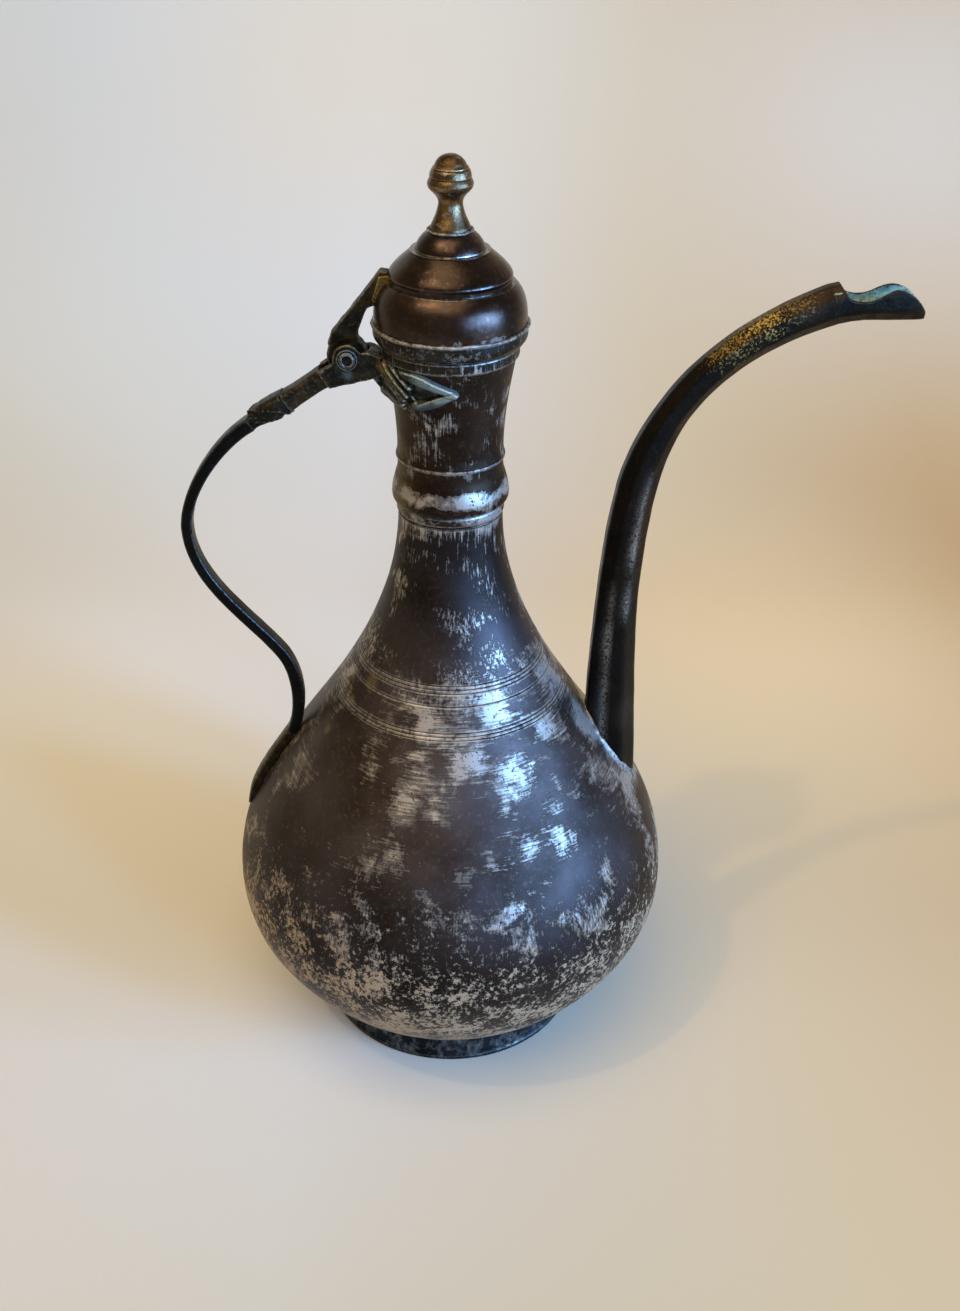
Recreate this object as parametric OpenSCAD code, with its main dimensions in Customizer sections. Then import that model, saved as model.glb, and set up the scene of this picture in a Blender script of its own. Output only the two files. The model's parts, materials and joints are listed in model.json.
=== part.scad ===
// Long-spouted copper ewer with a hinged, tiered lid, an S-shaped handle and an open beak.
// Millimetres, +Z up. Origin: middle of the foot on the ground. Spout toward +X, handle toward -X.
// Bodies of revolution are turned about Z; spout and handle lie in the plane y = 0.

/* [Foot and body] */
// radius of the foot ring where it stands
foot_r = 49.2; // [44:0.2:54]
// height of the foot ring
foot_h = 9; // [6:0.5:12]
// how far the foot ring leans in toward its top
foot_lean = 2.2; // [0.6:0.2:4]
// thickness of the foot ring's sheet
foot_wall = 1.6; // [1.2:0.1:2.4]
// greatest radius of the body
belly_r = 81; // [76:0.5:86]
// height at which the body is widest
belly_z = 63.5; // [56:0.5:70]
// height of the top of the long shoulder
body_h = 212; // [204:1:220]
// thickness of the raised copper sheet
wall = 1.4; // [1:0.1:2]
// radius at the top of the shoulder
neck_r = 17.8; // [16.5:0.1:19]
// place of the upper group of turned lines, as a share of the long curve
line_t1 = 0.505; // [0.4:0.005:0.6]
// place of the lower group of turned lines, as a share of the long curve
line_t2 = 0.352; // [0.2:0.002:0.38]
// depth of the turned lines round the shoulder
line_depth = 0.25; // [0.15:0.05:0.45]
// distance between the turned lines of one group
line_pitch = 1.1; // [0.9:0.1:2]

/* [Neck and mouth] */
// height of the small collar under the bead
collar_h = 4.6; // [3.6:0.2:5.6]
// height of the bead and the hollow above it
bead_h = 15.8; // [13.6:0.2:18]
// radius of the bead over its widest line
bead_r = 19.8; // [19:0.1:21]
// length of the flared neck tube
neck_len = 35.2; // [30:0.2:40]
// radius of the neck tube at its top
mouth_r = 21.5; // [20.6:0.1:22.4]
// height of the ring round the mouth
ring_h = 3.9; // [3:0.1:5]
// how far the mouth ring stands out past the tube
ring_out = 0.9; // [0.5:0.1:1.2]

/* [Lid] */
// gap between the lid and the mouth ring when shut
lid_gap = 0.3; // [0.25:0.05:0.5]
// greatest radius of the lid
lid_r = 24.9; // [24:0.1:26]
// height of the band round the foot of the lid
rim_h = 5.7; // [4.6:0.1:7]
// height of the bulged tier
drum_h = 13.4; // [11:0.2:16]
// radius of the middle dome at its sharp lower edge
dome_r = 19.7; // [18.4:0.1:21]
// height of the middle dome
dome_h = 10.2; // [8.4:0.2:12]
// radius of the small top cap
cap_r = 11.2; // [9.8:0.1:12.6]
// height of the small top cap
cap_h = 5.4; // [4.2:0.2:7]
// thickness of the lid's sheet
lid_wall = 1.2; // [0.9:0.1:1.6]
// depth of the flange that drops inside the mouth
flange_h = 3.2; // [2:0.2:4]
// height of the brass finial above the cap
finial_h = 23.2; // [20:0.2:27]
// radius of the finial's knob
knob_r = 7.2; // [6.2:0.1:8.4]

/* [Spout] */
// radius of the spout at its root
root_r = 9.5; // [8.6:0.1:10.4]
// radius of the spout at its narrowest
waist_r = 5.1; // [4.6:0.1:5.8]
// half height of the spout where the beak begins
tip_r = 6.4; // [5.8:0.1:7]
// how far the spout leans out from its root to the beak
reach = 61.8; // [54:0.2:70]
// height of the middle of the spout where the beak begins
spout_top = 283.3; // [272:0.5:292]
// thickness of the spout's wall
spout_wall = 1.3; // [1:0.1:1.6]
// length of the open beak
beak_len = 29.6; // [25:0.2:34]

/* [Handle] */
// how far the handle's furthest bend stands out past the belly
bend_out = 9.3; // [6:0.1:14]
// how far the furthest bend lies below the hinge
bend_drop = 61.4; // [54:0.2:68]
// width of the handle bar, side to side
bar_w = 5.6; // [4.8:0.1:6.6]
// thickness of the handle bar under the leaf
bar_t = 4.4; // [3.6:0.1:5]
// thickness of the tail where it comes to lie on the body
tail_t = 4; // [3.2:0.1:4.6]
// width of the thick arm between hinge and leaf
arm_w = 7.4; // [6.6:0.1:8.4]
// thickness of the arm
arm_t = 6.4; // [5.6:0.1:7.2]
// thickness of the winged saddle on the neck
saddle_t = 1.6; // [1.2:0.1:2.2]

/* [Hinge] */
// radius of the hinge pin
pin_r = 2.1; // [1.7:0.05:2.5]
// running clearance round the pin
pin_play = 0.08; // [0.04:0.01:0.1]
// outer radius of the lid's knuckle
knuckle_r = 6.6; // [6.2:0.1:7]
// width of the lid's strap and knuckle
strap_w = 4.4; // [3.8:0.1:5]
// gap between the knuckle and each lug
side_gap = 0.3; // [0.25:0.05:0.4]
// thickness of each lug
lug_t = 3.1; // [2.6:0.1:3.8]
// radius of the round top of each lug
lug_r = 4.8; // [4.4:0.1:5.2]

/* [Hidden] */
$fn = 96;

// levels, from the ground up
z_collar = body_h;
z_bead = z_collar + collar_h;
z_tube = z_bead + bead_h;
z_ring = z_tube + neck_len;
z_mouth = z_ring + ring_h;
z_rim = z_mouth + lid_gap;
z_drum = z_rim + rim_h;
z_dome = z_drum + drum_h;
z_cap = z_dome + dome_h;
z_fin = z_cap + cap_h;

// radii that follow from the ones above
foot_top_r = foot_r - foot_lean;
ring_r = mouth_r + ring_out;
bore_r = mouth_r - wall;
flange_r = bore_r - 1.5;
cap_foot_r = cap_r + 1.5;

// hinge axis, on the handle side of the lid
hinge_x = -lid_r - 8.2;
hinge_z = z_mouth - 4.7;
slot_w = strap_w + 2 * side_gap;
block_w = slot_w + 2 * lug_t;

// ---------- curves ----------

// point on a cubic curve
function cubic(a, b, c, d, t) =
    pow(1 - t, 3) * a + 3 * t * pow(1 - t, 2) * b + 3 * t * t * (1 - t) * c + t * t * t * d;

// a run of points on a cubic curve, without its first point
function run(a, b, c, d, n) = [for (i = [1:n]) cubic(a, b, c, d, i / n)];

// direction of a point list at one of its points, as a unit vector
function along(p, i) =
    let (k = len(p) - 1, a = p[max(i - 1, 0)], b = p[min(i + 1, k)], v = b - a)
    v / norm(v);

// the same outline moved to its left by a distance
function shifted(p, w) =
    [for (i = [0:len(p) - 1]) let (v = along(p, i)) p[i] + w * [-v[1], v[0]]];

// last point first
function back(p) = [for (i = [len(p) - 1:-1:0]) p[i]];

// value read from a list of [place, value] pairs, straight between them
function read(t, m, i = 0) =
    t <= m[i + 1][0] || i >= len(m) - 2
        ? m[i][1] + (m[i + 1][1] - m[i][1]) * (t - m[i][0]) / (m[i + 1][0] - m[i][0])
        : read(t, m, i + 1);

// body outline as three curves: bowl, upper belly, long shoulder
rise = body_h - belly_z;
lean = [-sin(34.4), cos(34.4)];
mid_p = [0.712 * belly_r, belly_z + 0.38 * rise];
bowl_a = [foot_top_r, foot_h];
bowl_d = [belly_r, belly_z];
bowl_b = bowl_a + 0.285 * belly_z * [sin(46), cos(46)];
bowl_c = bowl_d - [0, 0.372 * belly_z];
neck_p = [neck_r, body_h];

bowl_line = concat([bowl_a], run(bowl_a, bowl_b, bowl_c, bowl_d, 18));
belly_line = run(bowl_d, bowl_d + [0, 0.161 * rise], mid_p - 0.125 * rise * lean, mid_p, 12);
long_line = run(mid_p, mid_p + 0.148 * rise * lean, neck_p - [0, 0.258 * rise], neck_p, 20);
shoulder_line = concat([bowl_d], belly_line, long_line);

// a point on the shoulder at a share of the rise, for the turned lines
function shoulder_at(t) =
    cubic(mid_p, mid_p + 0.148 * rise * lean, neck_p - [0, 0.258 * rise], neck_p, t);

// neck tube outline with the turned-out lip at its foot
lip_r = neck_r + 0.5;
tube_a = [neck_r - 0.1, z_tube + 0.1 * neck_len];
tube_d = [mouth_r, z_ring];
tube_line = concat(
    [[lip_r, z_tube], [lip_r, z_tube + 0.6], tube_a],
    run(tube_a, tube_a + [0, 0.3 * neck_len], tube_d - [2, 0.28 * neck_len], tube_d, 14));

module turn(p) {
    rotate_extrude() polygon(p);
}

// spout section: eight-sided with eased corners
function ring_pts(b, a, e) = let (
    k = 0.414,
    c = [[b, -k * a], [b, k * a], [k * b, a], [-k * b, a],
        [-b, k * a], [-b, -k * a], [-k * b, -a], [k * b, -a]])
    [for (i = [0:7]) let (p = c[(i + 7) % 8], q = c[i], r = c[(i + 1) % 8])
        for (v = [q + e * (p - q), q + e * (r - q)]) v];

// four-cornered section with small chamfers, for the handle
function box_pts(b, a, e) =
    [[b, e - a], [b, a - e], [b - e, a], [e - b, a],
        [-b, a - e], [-b, e - a], [e - b, -a], [b - e, -a]];

// path: all the points of the run; the node starts at point i0
// sizes: [half width, half thickness, shift along the normal] for each point that it uses
module bar(path, i0, sizes, soft, kind) {
    n = len(sizes);
    rings = [for (i = [0:n - 1])
        let (v = along(path, i0 + i), c = path[i0 + i], s = sizes[i], q = kind == "spout"
            ? ring_pts(s[0], s[1], soft)
            : box_pts(s[0], s[1], soft * s[1]))
        [for (p = q) [c[0] - v[1] * (p[1] + s[2]), p[0], c[1] + v[0] * (p[1] + s[2])]]];
    m = len(rings[0]);
    pts = [for (r = rings) for (p = r) p];
    sides = [for (i = [0:n - 2]) for (j = [0:m - 1])
        let (a = i * m + j, b = i * m + (j + 1) % m, d = a + m, e = b + m)
        for (f = [[a, d, e], [a, e, b]]) f];
    first = [for (j = [0:m - 1]) j];
    last = [for (j = [m - 1:-1:0]) (n - 1) * m + j];
    polyhedron(pts, concat([first], sides, [last]));
}

// ---------- body ----------

module foot_ring() {
    color("#2f343c")
    turn([[foot_r - foot_wall, 0], [foot_r - 0.4, 0], [foot_r, 0.5], [foot_r, 1.6],
        [foot_r - 0.5, 2.2], [foot_top_r, foot_h],
        [foot_top_r - foot_wall, foot_h], [foot_r - foot_wall - 0.7, 1.8]]);
}

module bowl() {
    inner = shifted(bowl_line, wall);
    color("#3a2c23")
    turn(concat([[0, foot_h]], bowl_line, [[belly_r - wall, belly_z]],
        back([for (p = inner) if (p[1] > foot_h + wall + 0.4 && p[1] < belly_z - 0.5) p]),
        [[0, foot_h + wall]]));
}

// solid inside the outer face of the whole body, used to cut pieces that sit on it
module body_solid() {
    turn(concat([[0, foot_h]], bowl_line, belly_line, long_line, [[0, body_h]]));
}

module shoulder() {
    inner = shifted(shoulder_line, wall);
    color("#3a2c23")
    difference() {
        turn(concat(shoulder_line, [[neck_r - wall, body_h]],
            back([for (p = inner) if (p[1] > belly_z + 0.5 && p[1] < body_h - 0.5) p]),
            [[belly_r - wall, belly_z]]));
        // three fine turned lines in each of two groups, and a single one between them
        for (t = concat([for (g = [line_t1, line_t2]) for (k = [-1:1]) g + k * line_pitch / (0.6 * rise)],
                [0.65 * line_t1 + 0.35 * line_t2])) {
            rotate_extrude() translate(shoulder_at(t)) circle(r = line_depth, $fn = 16);
        }
        // way through into the spout
        translate([root_x, 0, root_z - 22]) cylinder(r = root_r - spout_wall - 1.6, h = 50);
    }
}

// ---------- neck ----------

module neck_collar() {
    z = z_collar;
    r = neck_r + 0.4;
    color("#4a3c31")
    turn([[neck_r - wall, z], [neck_r - 0.3, z], [neck_r - 0.3, z + 1], [r, z + 1.4],
        [r, z + collar_h - 0.7], [neck_r, z + collar_h], [neck_r - wall, z + collar_h]]);
}

module neck_bead() {
    r0 = neck_r - 0.2;
    zb = z_bead + 0.2 * bead_h;
    low = run([r0 + 0.3, z_bead], [bead_r, z_bead + 0.3], [bead_r, zb - 1.4], [bead_r, zb], 8);
    top = run([bead_r, zb], [bead_r, zb + 2.7], [bead_r - 0.9, zb + 4.6],
        [neck_r + 0.6, zb + 0.43 * bead_h], 8);
    color("#3a2c23")
    turn(concat([[neck_r - wall, z_bead], [r0 + 0.3, z_bead]], low, top,
        [[neck_r + 0.1, zb + 0.5 * bead_h], [neck_r - 0.1, z_tube], [neck_r - wall, z_tube]],
        [[neck_r - wall, zb + 2.8], [bead_r - wall, zb + 1.2], [bead_r - wall, zb - 1.2],
            [neck_r - wall, zb - 2.4]]));
}

module neck_tube() {
    inner = [[neck_r - wall, z_tube], [neck_r - wall, z_tube + 2.4]];
    side = shifted(tube_line, wall);
    color("#3a2c23")
    turn(concat(tube_line, [[bore_r, z_ring]],
        back([for (p = side) if (p[1] > z_tube + 3.4 && p[1] < z_ring - 0.4) p]), back(inner)));
}

module mouth_ring() {
    color("#453629")
    turn([[bore_r, z_ring], [mouth_r, z_ring], [ring_r, z_ring + 0.5], [ring_r, z_mouth - 0.7],
        [ring_r - 0.6, z_mouth], [bore_r, z_mouth]]);
}

// solid of neck and mouth grown by a distance, for the saddle and the block to be cut by
module neck_solid(g) {
    line = g > 0 ? shifted(tube_line, -g) : tube_line;
    turn(concat([[0, line[0][1]]], line, [[0, line[len(line) - 1][1]]]));
}

// ---------- spout ----------

root_x = 0.731 * belly_r;
root_z = belly_z + 0.327 * rise;
span = spout_top - root_z;
pipe_end = [root_x + reach, spout_top];
bend_p = [root_x + 0.047 * reach, root_z + 0.603 * span];
pipe_path = concat(
    [[root_x + 0.5, root_z - 24], [root_x + 0.4, root_z - 20], [root_x + 0.2, root_z - 9],
        [root_x, root_z]],
    run([root_x, root_z], [root_x - 1, root_z + 0.186 * span],
        [root_x - 2.3, root_z + 0.4 * span], bend_p, 14),
    run(bend_p, [root_x + 0.131 * reach, root_z + 0.806 * span],
        [root_x + 0.479 * reach, root_z + 0.932 * span], pipe_end, 18));
pipe_n = len(pipe_path) - 1;

// beak: level underneath, narrowing to the nose
// [share of the length, half width lost, half height lost, shift up]
beak_s = [[0.17, 0, 0, 0], [0.34, 0, -0.1, 0], [0.6, 0.2, -0.1, 0], [0.76, 0.7, -0.1, 0],
    [0.88, 1.6, -0.2, 0], [0.95, 2.7, -0.2, 0], [1, 4, -0.1, 0]];
beak_path = [for (s = beak_s)
    pipe_end + [s[0] * beak_len,
        tip_r * min(s[0] / 0.34, 1) * (0.391 - 0.117 * min(s[0] / 0.34, 1))]];
spout_path = concat(pipe_path, beak_path);

// half width and half thickness along the pipe, 0 at the root and 1 at the beak
function pipe_b(t) = read(t, [[0, root_r], [0.1, root_r - 0.2], [0.2, 0.9 * root_r],
    [0.33, 0.76 * root_r], [0.52, 0.68 * root_r], [0.66, waist_r + 0.3], [0.78, waist_r],
    [1, waist_r + 0.2]]);
function pipe_a(t) = read(t, [[0, root_r], [0.1, root_r - 0.2], [0.2, 0.9 * root_r],
    [0.33, 0.76 * root_r], [0.52, 0.69 * root_r], [0.66, waist_r + 0.3], [0.78, waist_r + 0.2],
    [0.92, waist_r + 0.7], [1, tip_r]]);

// section sizes at every point of the spout, pipe first and then beak, less a wall
function spout_sizes(cut, i0, i1) = [for (i = [i0:i1]) i <= pipe_n
    ? let (t = i / pipe_n) [pipe_b(t) - cut, pipe_a(t) - cut, 0]
    : let (s = beak_s[i - pipe_n - 1])
        [waist_r + 0.2 - s[1] - cut, tip_r - s[2] - cut, s[3]]];

module spout_run(cut, i0, i1, soft = 0.14) {
    bar(spout_path, i0, spout_sizes(cut, i0, i1), soft, "spout");
}

module spout_pipe() {
    color("#1d1712")
    difference() {
        spout_run(0, 1, pipe_n);
        spout_run(spout_wall, 0, pipe_n + 1);
        body_solid();
    }
}

// fillet of solder where the spout meets the body
module spout_solder() {
    color("#8d8c88")
    difference() {
        intersection() {
            spout_run(-1.6, 1, 8, 0.3);
            turn(concat(shifted(concat([bowl_d], belly_line, long_line), -0.7),
                [[0, body_h], [0, belly_z]]));
        }
        spout_run(0, 0, 10);
        body_solid();
    }
}

module spout_beak() {
    x = pipe_end[0];
    z = pipe_end[1];
    k = [beak_len / 29.6, tip_r / 6.4];
    m = len(spout_path) - 1;
    a = [3.7, 3.5];
    b = [9, 2.1];
    c = [19.2, 5.5];
    d = [30, -3.3];
    color("#1b1815")
    difference() {
        spout_run(0, pipe_n, m);
        spout_run(spout_wall, pipe_n - 1, m - 1);
        // the open top: an oblique cut, a dip, a hump, then down to the nose
        rotate([90, 0, 0]) linear_extrude(height = 5 * waist_r, center = true)
            polygon([for (p = concat([[0.8, 12], [1, 7.3], a],
                run(a, [5, 2.3], [7, 2.1], b, 5), run(b, [13, 2.1], [16, 5.5], c, 7),
                run(c, [23, 5.5], [27.5, 1.7], d, 7), [[34, -3.3], [34, 12]]))
                [x + p[0] * k[0], z + p[1] * k[1]]]);
    }
}

// ---------- handle ----------

arm_v = [-0.828, -0.561];
arm_up = [arm_v[1], -arm_v[0]];
arm_a = [hinge_x - 1.23 * arm_t, hinge_z - 1.13 * arm_t];
arm_d = arm_a + 2.35 * arm_t * arm_v;
leaf_d = arm_d + 2.32 * arm_t * [-0.847, -0.531];
bend_pt = [-belly_r - bend_out, hinge_z - bend_drop];

// the tail follows the belly's own curve, a little sunk so that it can be cut to it
tail_n = 12;
function tail_half(i) = tail_t / 2 * read(i / tail_n, [[0, 1], [0.55, 0.9], [0.8, 0.74], [1, 0.3]]);
tail_on = [for (i = [0:tail_n])
    let (t = 1 - 0.63 * i / tail_n,
        p = cubic(bowl_d, bowl_d + [0, 0.161 * rise], mid_p - 0.125 * rise * lean, mid_p, t),
        q = cubic(bowl_d, bowl_d + [0, 0.161 * rise], mid_p - 0.125 * rise * lean, mid_p,
            t - 0.02),
        v = (p - q) / norm(p - q), w = p + (tail_half(i) - 0.25) * [v[1], -v[0]])
    [-w[0], w[1]]];
land = tail_on[0];
low_pt = [0.681 * bend_pt[0], land[1] + 0.421 * (bend_pt[1] - land[1])];

// drops between the bends, which the curves between them are drawn from
drop_a = leaf_d[1] - bend_pt[1];
drop_b = bend_pt[1] - low_pt[1];
drop_c = low_pt[1] - land[1];

// one path for the whole handle: arm, leaf, free bar, tail
arm_n = 4;
leaf_n = 8;
handle_path = concat(
    [for (i = [0:arm_n]) arm_a + i / arm_n * (arm_d - arm_a)],
    [for (i = [1:leaf_n]) arm_d + i / leaf_n * (leaf_d - arm_d)],
    run(leaf_d, leaf_d + 0.375 * drop_a * [-0.857, -0.515], bend_pt + [0, 0.317 * drop_a],
        bend_pt, 14),
    run(bend_pt, bend_pt - [0, 0.42 * drop_b], low_pt + drop_b * [-0.239, 0.314], low_pt, 14),
    run(low_pt, low_pt + drop_c * [0.233, -0.311], land + 0.194 * drop_c * [-lean[0], lean[1]],
        land, 12),
    [for (i = [1:tail_n]) tail_on[i]]);
leaf_i = arm_n;
grip_i = leaf_i + leaf_n;
tail_i = grip_i + 40;

// points of the saddle's outline: [x, depth below the mouth ring] at the standard mouth
plate_k = mouth_r / 21.5;
function plate(p) = [for (q = p) [q[0] * plate_k, z_ring - q[1] * plate_k]];

module flat_run(p, g) {
    intersection() {
        neck_solid(g);
        rotate([90, 0, 0]) linear_extrude(height = 3 * belly_r, center = true) polygon(plate(p));
    }
}

module handle_saddle() {
    color("#4b4632")
    difference() {
        union() {
            // the two wings are one plate bent round the neck
            flat_run([[-32, 0], [-11, 0], [-7.5, 1.2], [1.4, 5.6], [2.6, 7], [1.7, 8.4],
                [-4, 11.8], [-12, 14.2], [-17.4, 14.4], [-20.5, 11.6], [-32, 6.6]], saddle_t);
            // raised ribs
            flat_run([[-20, 0.6], [-18.4, 0.6], [-10.4, 8], [-10.8, 9.4]], 1.44 * saddle_t);
            flat_run([[-17.6, 0.4], [-16, 0.4], [-9.2, 7.4], [-9.8, 8.4]], 1.31 * saddle_t);
        }
        // sunk field between the raised borders
        difference() {
            flat_run([[-12.6, 1.4], [-8.4, 2.4], [-0.4, 6.8], [-1.2, 8], [-9.6, 12],
                [-12.2, 12.2], [-8.6, 8.2]], 2.25 * saddle_t);
            neck_solid(0.6 * saddle_t);
        }
        neck_solid(0);
    }
}

module hinge_block() {
    x = hinge_x;
    z = hinge_z;
    color("#33352f")
    difference() {
        union() {
            rotate([90, 0, 0]) linear_extrude(height = block_w, center = true)
                difference() {
                    union() {
                        translate([x, z]) circle(r = lug_r);
                        polygon([arm_a - arm_t / 2 * arm_up, [x + 8, z - 6.6], [-16, z - 3.4],
                            [-16, z_ring], [-22, z_ring], [x + 6.8, z + 2.3],
                            [x + 3.3, z + 2.2], [x - 3.6, z - 0.8], arm_a + arm_t / 2 * arm_up]);
                    }
                    translate([x, z]) circle(r = pin_r);
                }
            // narrower web that runs down from the block to the neck
            rotate([90, 0, 0]) linear_extrude(height = 0.72 * block_w, center = true)
                polygon([[x + 7.6, z - 5.4], [x + 8, z - 7.2], [x + 11.1, z - 10.9],
                    [x + 14, z - 14.4], [-16, z - 14.8], [-16, z - 3], [x + 9, z - 3]]);
        }
        // slot for the lid's knuckle, open behind it where the strap swings back
        rotate([90, 0, 0]) linear_extrude(height = slot_w, center = true)
            union() {
                translate([x, z]) circle(r = knuckle_r + 0.4);
                translate([x - knuckle_r, z]) square([2 * knuckle_r + 0.4, 12]);
                translate([x - 14, z - knuckle_r - 0.4]) square([14, 20]);
            }
        neck_solid(saddle_t);
        translate([0, 0, z_ring - 1]) cylinder(r = ring_r + 0.05, h = 10);
    }
}

module handle_arm() {
    color("#6a5735")
    bar(handle_path, 0, [for (i = [0:arm_n]) let (t = i / arm_n)
        [arm_w / 2 + 0.2 * t, arm_t / 2 - 0.25 * sin(180 * t), 0]], 0.42, "handle");
}

// lapped leaf, swelling and then falling to the bar
module handle_leaf() {
    w = arm_w / 2;
    h = arm_t / 2;
    shape = [[0, 0.6, -0.1, 0], [0.08, 0.9, 0.35, 0], [0.3, 1, 0.6, -0.1],
        [0.55, 0.8, 0.5, -0.3], [0.8, 0.3, 0.1, -0.5], [0.94, -0.3, -0.5, -0.4], [1, -0.6, -0.8, 0]];
    color("#3c382a")
    union() {
        bar(handle_path, leaf_i, [for (i = [0:leaf_n]) let (t = i / leaf_n)
            [w + read(t, [for (s = shape) [s[0], s[1]]]), h + read(t, [for (s = shape) [s[0], s[2]]]),
                read(t, [for (s = shape) [s[0], s[3]]])]], 0.5, "handle");
        // two scrolls standing proud of its sides
        for (y = [-1, 1]) {
            p = handle_path[leaf_i + 3];
            translate([p[0], y * (w + 1.1), p[1]])
                rotate([90, 0, 0]) cylinder(r = 2.2, h = 1.2, center = true);
        }
    }
}

// half thickness of the bar from the leaf (0) to where it lies on the body (1)
function bar_half(t) = read(t, [[0, bar_t / 2 + 0.1], [0.2, bar_t / 2 - 0.3],
    [0.4, bar_t / 2 - 0.4], [0.65, bar_t / 2 - 0.3], [0.85, tail_t / 2 + 0.2], [1, tail_t / 2]]);

// the free bar from the leaf to where it comes down on the body
module handle_grip() {
    color("#15120f")
    difference() {
        bar(handle_path, grip_i, [for (i = [0:40]) let (t = i / 40)
            [bar_w / 2 + 0.3 - 0.4 * t, bar_half(t), 0]], 0.34, "handle");
        body_solid();
    }
}

// flat tail soldered down the body
module handle_tail() {
    color("#241d16")
    difference() {
        bar(handle_path, tail_i, [for (i = [0:tail_n]) let (t = i / tail_n)
            [bar_w / 2 + read(t, [[0, -0.1], [0.7, 0.3], [0.9, -0.3], [1, 0.8 - bar_w / 2]]),
                tail_half(i), 0]], 0.34, "handle");
        body_solid();
    }
}

// ---------- hinge ----------

module hinge_pin() {
    h = block_w / 2 + 0.5;
    color("#1c1a17")
    translate([hinge_x, 0, hinge_z]) rotate([90, 0, 0]) rotate_extrude()
        polygon([[0, -h - 0.8], [pin_r + 0.1, -h - 0.8], [pin_r + 0.6, -h - 0.4],
            [pin_r + 0.6, -h], [pin_r, -h], [pin_r, h], [pin_r + 0.6, h],
            [pin_r + 0.6, h + 0.4], [pin_r + 0.1, h + 0.8], [0, h + 0.8]]);
}

module hinge_washer() {
    color("#5c6468")
    for (y = [-1, 1]) {
        translate([hinge_x, y * (block_w / 2 + 0.25), hinge_z]) rotate([90, 0, 0])
            difference() {
                cylinder(r = pin_r + 1.3, h = 0.5, center = true);
                cylinder(r = pin_r, h = 2, center = true);
            }
    }
}

// ---------- lid ----------

module lid_rim() {
    z = z_rim;
    r = lid_r;
    color("#4a3c31")
    difference() {
        turn([[r - 2.8, z], [r - 1.5, z], [r - 0.3, z + 1.7], [r, z + 2.6], [r, z_drum],
            [r - lid_wall - 0.3, z_drum], [r - lid_wall - 0.3, z + 2.4], [r - 2.8, z + 1.2]]);
        solder_line();
    }
}

// round run of solder over the joint of rim and drum
module solder_line() {
    rotate_extrude() translate([lid_r + 0.05, z_drum]) circle(r = 0.5, $fn = 24);
}

module lid_solder() {
    color("#a3a19b")
    solder_line();
}

drum_line = let (a = [lid_r - 0.3, z_drum], d = [dome_r + 0.7, z_dome])
    concat([a], run(a, a + [0.1, 0.4 * drum_h], [lid_r - 0.6, z_drum + 0.74 * drum_h], d, 14));
dome_line = let (a = [dome_r, z_dome + 2.3], d = [cap_foot_r, z_cap - 0.4])
    concat([[dome_r - 0.4, z_dome], [dome_r - 0.5, z_dome + 1.3], a],
        run(a, a + [0, 1.6], d + [3.4, -2.6], d, 10), [[cap_foot_r, z_cap]]);
cap_line = let (a = [cap_r, z_cap], d = [7, z_fin])
    concat([a], run(a, a + [-0.4, 1.8], d + [2.2, -1], d, 8));

module lid_drum() {
    inner = shifted(drum_line, lid_wall);
    color("#33261e")
    difference() {
        turn(concat(drum_line, [[dome_r - 0.4 - lid_wall, z_dome]],
            back([for (p = inner) if (p[1] > z_drum + 0.4 && p[1] < z_dome - 0.8) p]),
            [[lid_r - 0.3 - lid_wall, z_drum]]));
        solder_line();
    }
}

module lid_dome() {
    inner = shifted(dome_line, lid_wall);
    color("#33261e")
    turn(concat(dome_line, [[cap_r - lid_wall, z_cap]],
        back([for (p = inner) if (p[1] > z_dome + 1.4 && p[1] < z_cap - 1) p]),
        [[dome_r - 0.4 - lid_wall, z_dome]]));
}

module lid_cap() {
    color("#3d2e23")
    turn(concat(cap_line, [[3.2, z_fin], [3.2, z_fin - lid_wall]],
        [[6.4, z_fin - lid_wall], [cap_r - lid_wall - 0.6, z_cap + 1.2],
            [cap_r - lid_wall, z_cap]]));
}

// short flange that drops inside the mouth, hidden when the lid is shut
module lid_flange() {
    color("#6d6a64")
    turn([[flange_r - 1, z_mouth - flange_h], [flange_r, z_mouth - flange_h],
        [flange_r, z_rim + 1.4], [lid_r - 2.8, z_rim + 1.4], [lid_r - 2.8, z_rim + 2.4],
        [flange_r - 1, z_rim + 2.4]]);
}

module finial_solder() {
    color("#b3b1aa")
    turn([[6.35, z_fin], [7, z_fin], [7.4, z_fin - 0.16], [7.5, z_fin + 0.25],
        [6.9, z_fin + 0.8], [6.4, z_fin + 0.95]]);
}

module finial() {
    z = z_fin;
    h = finial_h;
    r = knob_r;
    stem = 0.53 * knob_r;
    color("#8a7442")
    turn(concat([[0, z - lid_wall - 1.4], [3.1, z - lid_wall - 1.4], [3.1, z], [6.35, z],
        [6.4, z + 0.05 * h]],
        run([6.4, z + 0.05 * h], [5.9, z + 0.11 * h], [stem + 0.5, z + 0.22 * h],
            [stem, z + 0.36 * h], 7),
        run([stem, z + 0.36 * h], [stem - 0.05, z + 0.43 * h], [0.64 * r, z + 0.475 * h],
            [0.86 * r, z + 0.535 * h], 6),
        [[0.965 * r, z + 0.575 * h], [r, z + 0.62 * h], [0.985 * r, z + 0.645 * h],
            [0.925 * r, z + 0.685 * h], [0.905 * r, z + 0.715 * h], [0.885 * r, z + 0.755 * h],
            [0.84 * r, z + 0.795 * h], [0.785 * r, z + 0.83 * h], [0.7 * r, z + 0.85 * h]],
        run([0.7 * r, z + 0.85 * h], [0.61 * r, z + 0.93 * h], [0.36 * r, z + h],
            [0, z + h], 7)));
}

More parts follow.
